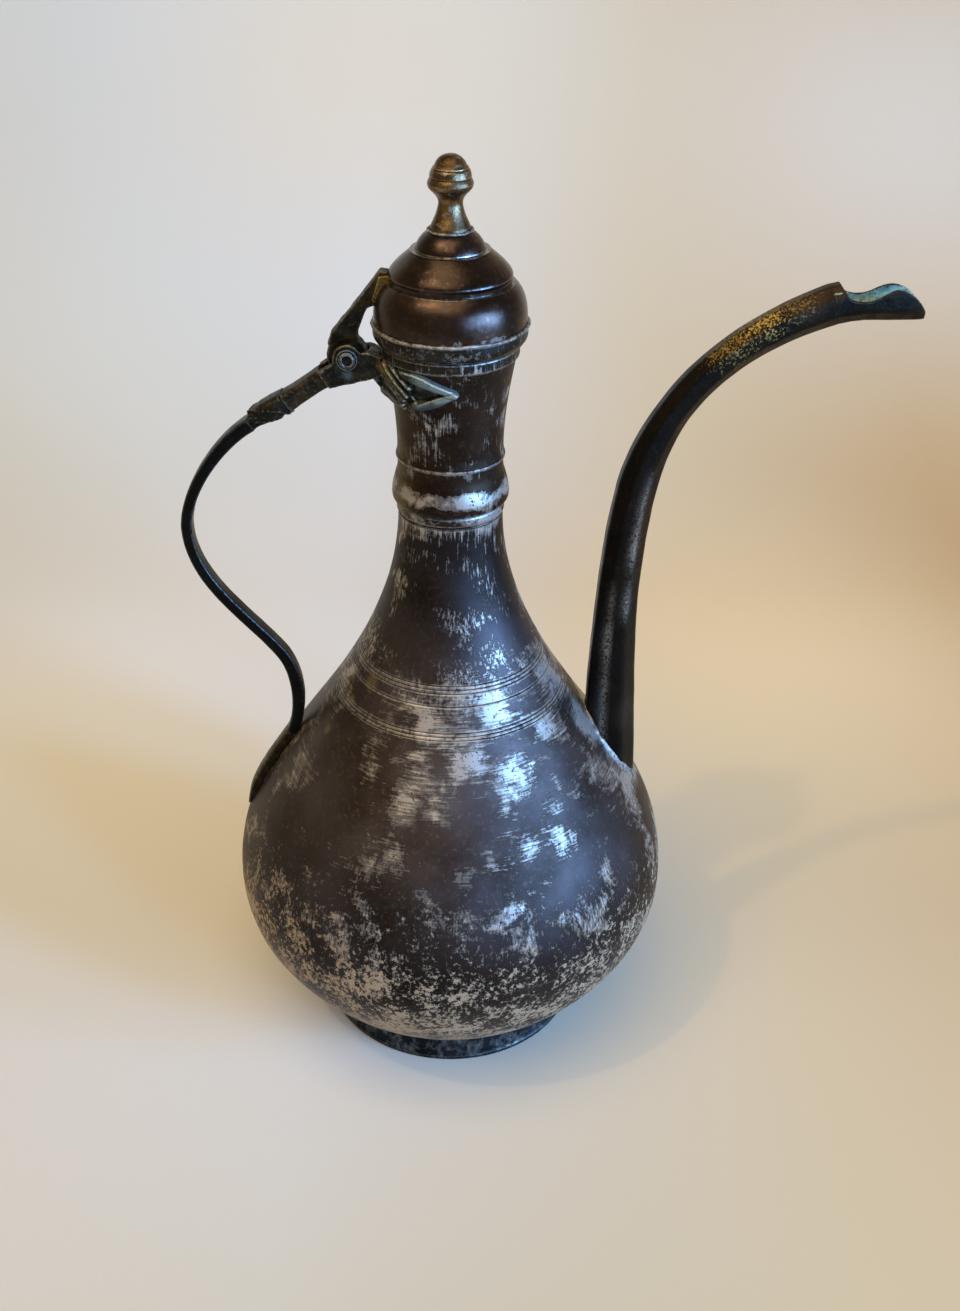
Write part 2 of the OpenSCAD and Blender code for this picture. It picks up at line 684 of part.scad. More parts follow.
// washer the finial's tang is riveted over, inside the lid
module finial_washer() {
    color("#7a6a45")
    translate([0, 0, z_fin - lid_wall - 1])
        difference() {
            cylinder(r = 5.4, h = 1);
            translate([0, 0, -1]) cylinder(r = 3.1, h = 4);
        }
}

// solid of the lid's outside, for the strap to be cut by
module lid_solid() {
    turn(concat([[0, z_rim], [lid_r - 1.5, z_rim], [lid_r - 0.3, z_rim + 1.7], [lid_r, z_rim + 2.6],
        [lid_r, z_drum]], drum_line, dome_line, cap_line, [[0, z_fin]]));
}

strap_top = [-dome_r - 2.4, z_dome + 3.6];

module lid_strap() {
    x = hinge_x;
    z = hinge_z;
    color("#3a3323")
    difference() {
        union() {
            translate([x, 0, z]) rotate([90, 0, 0])
                cylinder(r = knuckle_r, h = strap_w, center = true);
            rotate([90, 0, 0]) linear_extrude(height = strap_w, center = true)
                polygon([[x - 0.86 * knuckle_r, z + 2.8], [x - 0.95 * knuckle_r, z + 4.2],
                    [x - 4.9, z + 7.9], [x - 2, z + 11.2],
                    strap_top - [5.2, 6.8], strap_top, strap_top + [6, -0.8],
                    strap_top + [3.6, -9.4], [x + 6.7, z + 15.8], [x + 5.1, z + 12],
                    [x + 3.7, z + 8.2], [x + 3.6, z + 6], [x + 4.3, z + 4.2], [x + 3.6, z + 2.8]]);
        }
        translate([x, 0, z]) rotate([90, 0, 0])
            cylinder(r = pin_r + pin_play, h = 20, center = true);
        lid_solid();
    }
}

// thin run of solder along both sides of the strap where it lies on the lid
module strap_solder() {
    color("#8a7340")
    difference() {
        rotate([90, 0, 0]) linear_extrude(height = strap_w + 2.4, center = true)
            polygon([strap_top + [-0.4, -1.6], strap_top + [3.4, -1.2], strap_top + [3, -7],
                strap_top + [-0.8, -10.4], strap_top + [-2.6, -9]]);
        rotate([90, 0, 0]) linear_extrude(height = strap_w, center = true)
            translate(strap_top - [20, 20]) square(40);
        lid_solid();
    }
}

foot_ring();
bowl();
shoulder();
neck_collar();
neck_bead();
neck_tube();
mouth_ring();
spout_solder();
spout_pipe();
spout_beak();
handle_saddle();
hinge_block();
handle_arm();
handle_leaf();
handle_grip();
handle_tail();
hinge_pin();
hinge_washer();
lid_rim();
lid_solder();
lid_drum();
lid_dome();
lid_cap();
lid_flange();
finial_solder();
finial();
finial_washer();
lid_strap();
strap_solder();
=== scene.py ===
import json
import math

import bpy
import bmesh
import numpy as np
from mathutils import Matrix, Vector, noise

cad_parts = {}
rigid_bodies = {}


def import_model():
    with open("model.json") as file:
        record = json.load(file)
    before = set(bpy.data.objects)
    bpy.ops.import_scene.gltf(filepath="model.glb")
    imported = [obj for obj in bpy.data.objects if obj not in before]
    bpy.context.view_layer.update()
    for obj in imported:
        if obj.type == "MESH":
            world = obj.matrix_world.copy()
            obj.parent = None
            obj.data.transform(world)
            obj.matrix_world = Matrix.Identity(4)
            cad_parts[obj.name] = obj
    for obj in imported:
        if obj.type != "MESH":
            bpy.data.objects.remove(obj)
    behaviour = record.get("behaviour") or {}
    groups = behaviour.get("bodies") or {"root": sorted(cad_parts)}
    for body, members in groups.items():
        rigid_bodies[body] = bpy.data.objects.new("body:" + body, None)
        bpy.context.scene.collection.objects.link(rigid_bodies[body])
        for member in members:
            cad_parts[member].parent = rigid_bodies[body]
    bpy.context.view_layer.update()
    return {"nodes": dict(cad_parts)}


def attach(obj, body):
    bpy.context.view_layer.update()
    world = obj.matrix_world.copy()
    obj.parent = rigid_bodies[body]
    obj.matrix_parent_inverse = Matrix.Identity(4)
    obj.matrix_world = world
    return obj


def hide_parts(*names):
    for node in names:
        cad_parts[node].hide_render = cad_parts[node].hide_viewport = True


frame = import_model()
mm = 0.001


def linear(hexColour):
    # sRGB hex to the linear values that sockets take
    values = [int(hexColour[i:i + 2], 16) / 255 for i in (1, 3, 5)]
    return tuple(v / 12.92 if v <= 0.04045 else ((v + 0.055) / 1.055) ** 2.4 for v in values) + (1.0,)


def addNode(tree, kind, settings=None, links=None):
    # settings and links go by input name or number, "stops" are a ramp's marks, anything else is a property;
    # a link takes a socket, or a node whose first output is meant
    node = tree.nodes.new("ShaderNode" + kind)
    for key, value in (settings or {}).items():
        value = linear(value) if isinstance(value, str) and value.startswith("#") else value
        if key == "stops":
            for i, (place, colour) in enumerate(value):
                mark = node.color_ramp.elements[i] if i < 2 else node.color_ramp.elements.new(place)
                mark.position, mark.color = place, linear(colour) if isinstance(colour, str) else (colour,) * 3 + (1,)
        elif isinstance(key, int) or key in node.inputs:
            node.inputs[key].default_value = value
        else:
            setattr(node, key, value)
    for key, source in (links or {}).items():
        tree.links.new(source.outputs[0] if hasattr(source, "outputs") else source, node.inputs[key])
    return node


def startMaterial(name):
    # empty material with its shader, and object coordinates in millimetres
    material = bpy.data.materials.new(name)
    material.use_nodes = True
    tree = material.node_tree
    tree.nodes.clear()
    shader = addNode(tree, "BsdfPrincipled")
    addNode(tree, "OutputMaterial", None, {"Surface": shader})
    coords = addNode(tree, "TexCoord")
    point = addNode(tree, "VectorMath", {"operation": "SCALE", "Scale": 1000.0}, {0: coords.outputs["Object"]})
    return material, tree, shader, point


# shape helpers, all in millimetres

tiny = 1e-6     # mm, shorter than any real edge


def cubic(a, b, c, d, t):
    u = 1 - t
    return tuple(u ** 3 * p + 3 * t * u * u * q + 3 * t * t * u * r + t ** 3 * s for p, q, r, s in zip(a, b, c, d))


def run(a, b, c, d, n):
    return [cubic(a, b, c, d, i / n) for i in range(1, n + 1)]


def between(a, b, share):
    return tuple(p + (q - p) * share for p, q in zip(a, b))


def along(a, b, step):
    # the point that lies step mm from a on the way to b
    length = math.dist(a, b)
    return tuple(p + step * (q - p) / length for p, q in zip(a, b))


def bowed(a, b, c, t):
    # from a to c on a curve that leans towards b
    return tuple((1 - t) ** 2 * p + 2 * t * (1 - t) * q + t * t * r for p, q, r in zip(a, b, c))


def read(t, table):
    # straight-line reading of a table of (place, value)
    for (t0, v0), (t1, v1) in zip(table, table[1:]):
        if t <= t1:
            break
    return v0 + (v1 - v0) * (t - t0) / (t1 - t0)


def smooth(t):
    t = min(max(t, 0.0), 1.0)
    return t * t * (3 - 2 * t)


def catmull(points, n):
    # n steps between neighbours, through every point
    out = []
    for i in range(len(points) - 1):
        p0 = points[max(i - 1, 0)]
        p1, p2 = points[i], points[i + 1]
        p3 = points[min(i + 2, len(points) - 1)]
        for k in range(n):
            t = k / n
            out.append(tuple(0.5 * (2 * b + (c - a) * t + (2 * a - 5 * b + 4 * c - d) * t * t
                                    + (3 * b - a - 3 * c + d) * t ** 3)
                             for a, b, c, d in zip(p0, p1, p2, p3)))
    out.append(tuple(points[-1]))
    return out


def rounded(points, radius, n=3, closed=True):
    # outline with its corners eased by about radius, where they turn enough to need it
    leastTurn = 18
    out = []
    count = len(points)
    for i, p in enumerate(points):
        if not closed and i in (0, count - 1):
            out.append(p)
            continue
        a, b = points[i - 1], points[(i + 1) % count]
        la, lb = math.dist(a, p), math.dist(b, p)
        if min(la, lb) < tiny:
            continue
        turn = math.degrees(math.acos(max(-1, min(1, sum((x - y) * (z - x) for x, y, z in zip(p, a, b)) / (la * lb)))))
        if turn < leastTurn or p[0] < tiny:
            out.append(p)
            continue
        cut = min(radius, 0.4 * la, 0.4 * lb)
        out += [bowed(along(p, a, cut), p, along(p, b, cut), k / n) for k in range(n + 1)]
    return out


def refine(points, step):
    # closed outline with no edge longer than step
    out = []
    for p, q in zip(points, points[1:] + points[:1]):
        n = max(1, math.ceil(math.dist(p, q) / step)) if max(p[0], q[0]) > tiny else 1
        out += [tuple(a + (b - a) * k / n for a, b in zip(p, q)) for k in range(n)]
    return out


def handWork(p, depth=0.22):
    # how far a hand-raised sheet stands off true at a point, in mm: waves of 34 and 15 mm, none at the foot
    slow = noise.noise(Vector(p) / 34) + 0.5 * noise.noise(Vector(p) / 15 + Vector((7, 3, 1)))
    return depth * slow * smooth((p[2] - 4) / 20)


def buildMesh(name, verts, faces, sharp=38):
    mesh = bpy.data.meshes.new(name)
    mesh.from_pydata([(x * mm, y * mm, z * mm) for x, y, z in verts], [], faces)
    work = bmesh.new()
    work.from_mesh(mesh)
    bmesh.ops.remove_doubles(work, verts=work.verts, dist=1e-6)
    bmesh.ops.recalc_face_normals(work, faces=work.faces)
    work.to_mesh(mesh)
    work.free()
    mesh.shade_smooth()
    mesh.set_sharp_from_angle(angle=math.radians(sharp))
    piece = bpy.data.objects.new(name, mesh)
    bpy.context.scene.collection.objects.link(piece)
    return piece


def turned(name, outline, sides=256, offset=None, sharp=38):
    # closed outline of (radius, height) turned about the pot's axis
    verts, faces, rows = [], [], []
    for r, z in outline:
        if r < tiny:
            rows.append([len(verts)] * sides)
            verts.append((0, 0, z))
            continue
        start = len(verts)
        for j in range(sides):
            a = 2 * math.pi * j / sides
            p = (r * math.cos(a), r * math.sin(a), z)
            d = offset(p) if offset else 0
            verts.append((p[0] + d * math.cos(a), p[1] + d * math.sin(a), z))
        rows.append(list(range(start, start + sides)))
    for a, b in zip(rows, rows[1:] + rows[:1]):
        for j in range(sides):
            k = (j + 1) % sides
            face = [a[j], a[k], b[k], b[j]]
            face = [v for i, v in enumerate(face) if v not in face[:i]]
            if len(face) > 2:
                faces.append(face)
    return buildMesh(name, verts, faces, sharp)


def ringFaces(rings, perRing, closed=False):
    # quads between rings of points, and from the last ring to the first where the run is closed
    return [[i * perRing + j, i * perRing + (j + 1) % perRing,
             (i + 1) % rings * perRing + (j + 1) % perRing, (i + 1) % rings * perRing + j]
            for i in range(rings if closed else rings - 1) for j in range(perRing)]


def swept(name, rings, sharp=38):
    # solid bar through rings of equal length, with flat ends
    verts = [p for ring in rings for p in ring]
    m = len(rings[0])
    ends = [list(range(m))[::-1], [(len(rings) - 1) * m + j for j in range(m)]]
    return buildMesh(name, verts, ringFaces(len(rings), m) + ends, sharp)


def tangents(path):
    # direction of travel at each point
    out = []
    for i in range(len(path)):
        a, b = path[max(i - 1, 0)], path[min(i + 1, len(path) - 1)]
        d = math.dist(a[:2], b[:2]) or 1
        out.append(((b[0] - a[0]) / d, (b[1] - a[1]) / d))
    return out


def castCopy(name, node, voxel, smoothing, rough=0.0, size=3.0):
    # a cast piece: the node's shape with softened edges and an uneven skin
    piece = bpy.data.objects.new(name, frame["nodes"][node].data.copy())
    bpy.context.scene.collection.objects.link(piece)
    piece.data.materials.clear()
    bpy.context.view_layer.objects.active = piece
    for kind, settings in (("REMESH", {"mode": "VOXEL", "voxel_size": voxel * mm, "adaptivity": 0.0}),
                           ("SMOOTH", {"factor": 0.5, "iterations": smoothing})):
        modifier = piece.modifiers.new(kind, kind)
        for key, value in settings.items():
            setattr(modifier, key, value)
    depsgraph = bpy.context.evaluated_depsgraph_get()
    mesh = bpy.data.meshes.new_from_object(piece.evaluated_get(depsgraph))
    piece.modifiers.clear()
    piece.data = mesh
    mesh.name = name
    if rough:
        for v, n in zip(mesh.vertices, [Vector(v.normal) for v in mesh.vertices]):
            p = v.co / mm
            v.co += n * mm * rough * (noise.noise(p / size) + 0.5 * noise.noise(p / (0.4 * size)))
    mesh.shade_smooth()
    return piece


def markBends(piece, spread=2):
    # how sharply the skin turns at each vertex, 0.5 where flat and more on ridges, for rubbed edges, painted highlight
    # lines on the lid's ridges, and dirt
    mesh = piece.data
    places = np.empty(len(mesh.vertices) * 3)
    normals = np.empty(len(mesh.vertices) * 3)
    edges = np.empty(len(mesh.edges) * 2, dtype=np.int64)
    mesh.vertices.foreach_get("co", places)
    mesh.vertices.foreach_get("normal", normals)
    mesh.edges.foreach_get("vertices", edges)
    places, normals, edges = places.reshape(-1, 3) / mm, normals.reshape(-1, 3), edges.reshape(-1, 2)
    a, b = edges[:, 0], edges[:, 1]
    step = places[b] - places[a]
    length = np.maximum((step ** 2).sum(1), 0.01)
    total, count = np.zeros(len(places)), np.full(len(places), 1e-6)
    for near, sign in ((a, -2), (b, 2)):
        np.add.at(total, near, sign * (normals[near] * step).sum(1) / length)
        np.add.at(count, near, 1)
    turn = np.clip(total / count, -4, 4)
    for _ in range(spread):
        total = turn * count
        np.add.at(total, a, turn[b])
        np.add.at(total, b, turn[a])
        turn = total / (2 * count)
    mark = mesh.attributes.new("bend", "FLOAT", "POINT")
    mark.data.foreach_set("value", (0.5 + 0.5 * np.tanh(0.8 * turn)).astype(np.float32))


def dress(piece, body, material, slot, *nodes):
    # material, the body that carries the piece, the record's slot (not used) and the nodes that it stands for
    piece.data.materials.clear()
    piece.data.materials.append(material)
    # the lid's bends are spread wider so the pale lines on its ridges show broader: partly painted highlight
    markBends(piece, 4 if material == lidCopper else 2)
    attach(piece, body)
    if nodes:
        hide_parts(*nodes)


# materials

soft = {"interpolation_type": "SMOOTHSTEP"}


def mirroredPoint(tree, point):
    # a point's three parts, and the point with both sides of the pot laid on one
    split = addNode(tree, "SeparateXYZ", None, {"Vector": point})
    side = addNode(tree, "Math", {"operation": "ABSOLUTE"}, {0: split.outputs["Y"]})
    mirrored = addNode(tree, "CombineXYZ", None, {"X": split.outputs["X"], "Y": side, "Z": split.outputs["Z"]})
    return split, mirrored


def paintStainsAndLight(tree, colour, mirrored, grain, stainsAndPaintedLight):
    # ragged blooms, for stains and for painted light and shade, each with a centre, a reach in mm, a tint and the share
    # of it in the middle
    for centre, reach, tint, most in stainsAndPaintedLight:
        away = addNode(tree, "VectorMath", {"operation": "DISTANCE", 1: centre}, {0: mirrored})
        ragged = addNode(tree, "Math", {"operation": "MULTIPLY_ADD", 1: reach * 1.6},
                         {0: grain, 2: away.outputs["Value"]})
        near = addNode(tree, "MapRange", {**soft, "From Min": reach * 1.9, "From Max": reach * 1.2, "To Max": most},
                       {"Value": ragged})
        colour = addNode(tree, "Mix", {"data_type": "RGBA", 7: tint}, {0: near, 6: colour}).outputs[2]
    return colour


# where on the "bend" mark rubbing and dirt begin and are full, how the grain breaks the rubbing up, and the dirt
sheetMarks = {"rubFrom": 0.57, "rubFull": 0.74, "grainFrom": 0.40, "dirtFrom": 0.44, "dirtFull": 0.26, "dirtMost": 0.8,
              "dirt": "#15110d"}
castMarks = {"rubFrom": 0.58, "rubFull": 0.80, "grainFrom": 0.38, "dirtFrom": 0.45, "dirtFull": 0.27, "dirtMost": 0.85,
             "dirt": "#0b0a08"}


def edgeRubHighlightAndDirt(tree, colour, grain, marks, tint, most):
    # bright rubbed edges, on the lid and the saddle partly painted highlight lines, then dirt in the hollows
    bend = addNode(tree, "Attribute", {"attribute_name": "bend"}).outputs["Fac"]
    edge = addNode(tree, "MapRange", {**soft, "From Min": marks["rubFrom"], "From Max": marks["rubFull"],
                                      "To Max": most}, {"Value": bend})
    broken = addNode(tree, "MapRange", {"From Min": marks["grainFrom"], "From Max": 0.56}, {"Value": grain})
    edge = addNode(tree, "Math", {"operation": "MULTIPLY"}, {0: edge, 1: broken})
    hollow = addNode(tree, "MapRange", {**soft, "From Min": marks["dirtFrom"], "From Max": marks["dirtFull"],
                                        "To Max": marks["dirtMost"]}, {"Value": bend})
    colour = addNode(tree, "Mix", {"data_type": "RGBA", 7: tint}, {0: edge, 6: colour}).outputs[2]
    return addNode(tree, "Mix", {"data_type": "RGBA", 7: marks["dirt"]}, {0: hollow, 6: colour}).outputs[2]


potHeight = 330.0


def wornTin(name, look):
    # Raised copper sheet, wiped with hot tin inside and out long ago. The copper has turned to a smooth brown-black
    # oxide with a dull gloss. What is left of the tin shows as grey patches with torn edges and small pits, brushed
    # level on the belly, streaked upright on the neck, and as a matt cream crust of specks low down.
    material, tree, shader, point = startMaterial(name)
    split, mirrored = mirroredPoint(tree, point)
    share = addNode(tree, "Math", {"operation": "DIVIDE", 1: potHeight}, {0: split.outputs["Z"]})

    # Patches, clouds of 30 mm and hammer marks of 9 mm are of a size that shows. The pits, wiping strokes, upright
    # streaks and specks of real tin are mostly a few tenths of a millimetre, too fine to show, so they are drawn as
    # coarse as they need to be: 1.1, 0.6, 0.7 to 0.9 and 1.7 mm.
    patches = addNode(tree, "TexNoise", {"Scale": 1 / look["patch"], "Detail": 8.0, "Roughness": 0.66,
                                         "Distortion": 0.5}, {"Vector": point})
    cloud = addNode(tree, "TexNoise", {"Scale": 1 / 30, "Detail": 4.0, "Roughness": 0.55}, {"Vector": point})
    pits = addNode(tree, "TexNoise", {"Scale": 1 / 1.1, "Detail": 3.0, "Roughness": 0.6}, {"Vector": point})
    flat = addNode(tree, "Mapping", {"Scale": (1 / 9, 1 / 9, 1 / 0.6)}, {"Vector": point})
    strokes = addNode(tree, "TexNoise", {"Scale": 1.0, "Detail": 4.0, "Roughness": 0.7}, {"Vector": flat})
    wide, long = look["upright"]
    upright = addNode(tree, "Mapping", {"Scale": (1 / wide, 1 / wide, 1 / long)}, {"Vector": point})
    streaks = addNode(tree, "TexNoise", {"Scale": 1.0, "Detail": 5.0, "Roughness": 0.72}, {"Vector": upright})
    specks = addNode(tree, "TexNoise", {"Scale": 1 / 1.7, "Detail": 7.0, "Roughness": 0.78}, {"Vector": point})

    # how much the brush strokes and streaks break up the patches, by height
    strokeShare = addNode(tree, "ValToRGB", {"stops": look["strokeBands"]}, {"Fac": share})
    streakShare = addNode(tree, "ValToRGB", {"stops": look["streakBands"]}, {"Fac": share})
    tinBias = addNode(tree, "ValToRGB", {"stops": look["tinBands"]}, {"Fac": share})
    amount = patches
    for part, weight in ((strokes, strokeShare), (streaks, streakShare)):
        centred = addNode(tree, "Math", {"operation": "SUBTRACT", 1: 0.5}, {0: part})
        amount = addNode(tree, "Math", {"operation": "MULTIPLY_ADD"}, {0: centred, 1: weight, 2: amount})
    amount = addNode(tree, "Math", {"operation": "ADD"}, {0: amount, 1: tinBias})

    # places where more tin is left, or less, the same on both sides of the pot
    for centre, reach, gain in look["places"]:
        away = addNode(tree, "VectorMath", {"operation": "DISTANCE", 1: centre}, {0: mirrored})
        near = addNode(tree, "MapRange", {**soft, "From Min": reach * 1.4, "From Max": reach * 0.4, "To Max": gain},
                       {"Value": away.outputs["Value"]})
        amount = addNode(tree, "Math", {"operation": "ADD"}, {0: amount, 1: near})
    thinFrom, thinFull = look["thinAt"]
    thickFrom, thickFull = look["thickAt"]
    crustFrom, crustFull = look["crustAt"]
    thin = addNode(tree, "MapRange", {**soft, "From Min": thinFrom, "From Max": thinFull}, {"Value": amount})
    thick = addNode(tree, "MapRange", {**soft, "From Min": thickFrom, "From Max": thickFull}, {"Value": amount})
    pitted = addNode(tree, "MapRange", {"From Min": 0.66, "From Max": 0.60}, {"Value": pits})
    thin = addNode(tree, "Math", {"operation": "MULTIPLY"}, {0: thin, 1: pitted})

    # crust of pale specks
    crustBias = addNode(tree, "ValToRGB", {"stops": look["crustBands"]}, {"Fac": share})
    crust = addNode(tree, "Math", {"operation": "MULTIPLY_ADD", 1: 0.55}, {0: patches, 2: specks})
    crust = addNode(tree, "Math", {"operation": "ADD"}, {0: crust, 1: crustBias})
    crustMask = addNode(tree, "MapRange", {**soft, "From Min": crustFrom, "From Max": crustFull}, {"Value": crust})

    oxide = addNode(tree, "ValToRGB", {"stops": [(0.34, look["dark"]), (0.5, look["mid"]), (0.66, look["light"])]},
                    {"Fac": cloud})
    handled = addNode(tree, "MapRange", {"From Min": 0.54, "From Max": 0.70, "To Max": 0.75}, {"Value": specks})
    oxide = addNode(tree, "Mix", {"data_type": "RGBA", 7: look["rub"]}, {0: handled, 6: oxide})
    # darker low on the body, painted shade where its underside faces the floor in the pot's own shadow, and darker
    # below the neck
    tone = addNode(tree, "ValToRGB", {"stops": look["toneAndShadeBands"]}, {"Fac": share})
    oxide = addNode(tree, "Mix", {"data_type": "RGBA", "blend_type": "MULTIPLY", 0: 1.0},
                    {6: oxide.outputs[2], 7: tone})
    # ochre and dark bloom where flux and hands have been
    stainMost = 0.85
    oxide = paintStainsAndLight(tree, oxide.outputs[2], mirrored, specks, [stain + (stainMost,) for stain in look["stainsAndPaintedLight"]])
    tin = addNode(tree, "Mix", {"data_type": "RGBA", 6: look["thinTin"], 7: look["tin"]}, {0: thick})
    colour = addNode(tree, "Mix", {"data_type": "RGBA"}, {0: thin, 6: oxide, 7: tin.outputs[2]})
    colour = addNode(tree, "Mix", {"data_type": "RGBA", 7: look["crust"]}, {0: crustMask, 6: colour.outputs[2]})

    colour = edgeRubHighlightAndDirt(tree, colour.outputs[2], specks, sheetMarks, look["tin"], look["edge"])
    tree.links.new(colour, shader.inputs["Base Color"])

    metal = addNode(tree, "MapRange", {"To Min": 0.92, "To Max": 0.72}, {"Value": thin})
    metal = addNode(tree, "Mix", {"data_type": "FLOAT", 3: 0.25}, {0: crustMask, 2: metal})
    tree.links.new(metal.outputs[0], shader.inputs["Metallic"])
    rough = addNode(tree, "MapRange", {"To Min": look["gloss"], "To Max": 0.43}, {"Value": thin})
    speckled = addNode(tree, "Math", {"operation": "SUBTRACT", 1: 0.5}, {0: specks})
    rough = addNode(tree, "Math", {"operation": "MULTIPLY_ADD", 1: 0.22}, {0: speckled, 2: rough})
    rough = addNode(tree, "Mix", {"data_type": "FLOAT", 3: 0.62}, {0: crustMask, 2: rough})
    tree.links.new(rough.outputs[0], shader.inputs["Roughness"])

    # hammer marks under fine pitting and the step at the tin's edge
    hammer = addNode(tree, "TexNoise", {"Scale": 1 / 9, "Detail": 1.0}, {"Vector": point})
    first = addNode(tree, "Bump", {"Distance": 0.24 * mm}, {"Height": hammer})
    tinStep = addNode(tree, "Math", {"operation": "MULTIPLY", 1: 0.35}, {0: thin})
    relief = addNode(tree, "Math", {"operation": "MULTIPLY_ADD", 1: 0.5}, {0: specks, 2: tinStep})
    relief = addNode(tree, "Math", {"operation": "MULTIPLY_ADD", 1: 0.6}, {0: crustMask, 2: relief})
    second = addNode(tree, "Bump", {"Distance": 0.13 * mm}, {"Height": relief, "Normal": first})
    tree.links.new(second.outputs["Normal"], shader.inputs["Normal"])
    return material


plain = [(0.0, 1.0), (1.0, 1.0)]
bodyLook = {
    # patch size and streak width and length in mm, then how much is needed for thin tin, thick tin and crust
    "patch": 14.0, "upright": (0.9, 13.0), "thinAt": (1.058, 1.078), "thickAt": (1.11, 1.19), "crustAt": (1.33, 1.38),
    "dark": "#38302e", "mid": "#494243", "light": "#575156", "rub": "#71685f",
    # by height: darker low down as painted shade, and darker below the neck
    "toneAndShadeBands": [(0.0, 0.30), (0.22, 0.36), (0.30, 0.7), (0.40, 1.0), (0.47, 0.9), (0.52, 0.6), (0.57, 0.34),
                  (0.64, 0.26), (0.82, 0.26)],
    "thinTin": "#69645f", "tin": "#a3a09e", "crust": "#a8947b", "gloss": 0.49, "edge": 0.7,
    # bands by share of the pot's height, then places and stains by centre and reach in mm
    "tinBands": [(0.0, 0.40), (0.17, 0.40), (0.21, 0.46), (0.24, 0.54), (0.27, 0.48), (0.34, 0.51), (0.43, 0.53),
                 (0.49, 0.57), (0.53, 0.51), (0.62, 0.49), (0.645, 0.60), (0.657, 0.58), (0.664, 0.42), (0.674, 0.58),
                 (0.69, 0.44), (0.703, 0.58), (0.712, 0.50), (0.73, 0.46), (0.79, 0.45), (0.806, 0.52)],
    "strokeBands": [(0.0, 0.0), (0.25, 0.10), (0.32, 0.42), (0.45, 0.55), (0.5, 0.30), (0.54, 0.0)],
    "streakBands": [(0.18, 0.0), (0.235, 0.62), (0.28, 0.55), (0.32, 0.15), (0.45, 0.12), (0.50, 0.95), (0.9, 0.95)],
    "crustBands": [(0.03, 0.60), (0.1, 0.59), (0.16, 0.57), (0.2, 0.545), (0.24, 0.50), (0.29, 0.43), (0.36, 0.34)],
    "places": [((-11, 47, 132), 8, 0.13), ((6, 45, 137), 8, 0.14), ((19, 47, 131), 7, 0.09), ((20, 40, 140), 7, 0.07),
               ((33, 27, 141), 8, 0.10), ((16, 24, 166), 10, -0.07), ((24, 16, 172), 9, -0.08),
               ((14, 36, 154), 8, 0.10), ((-22, 61, 109), 8, 0.12), ((39, 52, 108), 7, 0.13), ((9, 67, 104), 8, 0.13),
               ((22, 72, 89), 12, 0.11), ((45, 60, 85), 10, 0.10), ((51, 8, 130), 10, 0.20), ((64, 8, 108), 12, 0.22),
               ((35, 12, 152), 9, 0.18), ((-10, 42, 148), 9, 0.10), ((14, 38, 149), 8, 0.12),
               ((-30, 60, 122), 12, -0.10), ((-10, 62, 112), 9, -0.12), ((-46, 40, 120), 14, -0.10),
               ((10, 54, 118), 8, -0.12), ((40, 60, 98), 9, -0.06), ((-12, 22, 175), 9, -0.12),
               ((-12, 25, 190), 12, -0.16), ((3, 25, 192), 9, -0.12), ((-26, 20, 164), 14, -0.12),
               ((-44, 36, 138), 16, -0.12), ((-8, 28, 168), 10, -0.10), ((-30, 42, 146), 10, -0.06),
               ((-60, 40, 100), 18, -0.06)],
    "stainsAndPaintedLight": [((-12, 26, 190), 11.0, "#1d150f"), ((-27, 21, 155), 3.6, "#776a49"), ((-35, 19, 146), 2.6, "#7d7359"),
               ((-44, 19, 134), 2.4, "#6f6752"), ((-17, 6, 222), 6.0, "#463d26"), ((-19, 8, 250), 9.0, "#3a3322"),
               ((-18, 7, 236), 6.0, "#3f3724")],
}
bodyCopper = wornTin("tinned copper sheet, worn", bodyLook)
footLook = dict(bodyLook, patch=5.0, toneAndShadeBands=plain, dark="#131518", mid="#1f2327", light="#2d3338", rub="#3b444b",
                thinTin="#3c3f40", tin="#5f6260", crust="#666864", gloss=0.44,
                tinBands=[(0.0, 0.50), (0.006, 0.57), (0.03, 0.56)], strokeBands=[(0.0, 0.0), (1.0, 0.0)],
                streakBands=[(0.0, 0.25), (1.0, 0.25)], crustBands=[(0.0, 0.34), (0.02, 0.40)], places=[], stainsAndPaintedLight=[])
footCopper = wornTin("tinned copper foot band, blackened", footLook)
trimLook = dict(bodyLook, patch=7.0, toneAndShadeBands=plain, dark="#1d1a17", mid="#2c2925", light="#3b3833", rub="#5b5750",
                thinTin="#5f5c58", gloss=0.42, edge=0.9, crust="#625e58",
                tinBands=[(0.0, 0.5), (0.64, 0.62), (0.66, 0.60), (0.81, 0.50), (0.822, 0.44), (0.84, 0.46)],
                crustBands=[(0.0, 0.1), (0.81, 0.3), (0.825, 0.46), (0.84, 0.53)], places=[],
                stainsAndPaintedLight=[((-17, 6, 214), 6.0, "#463d26")])
trimCopper = wornTin("copper bands, rubbed", trimLook)
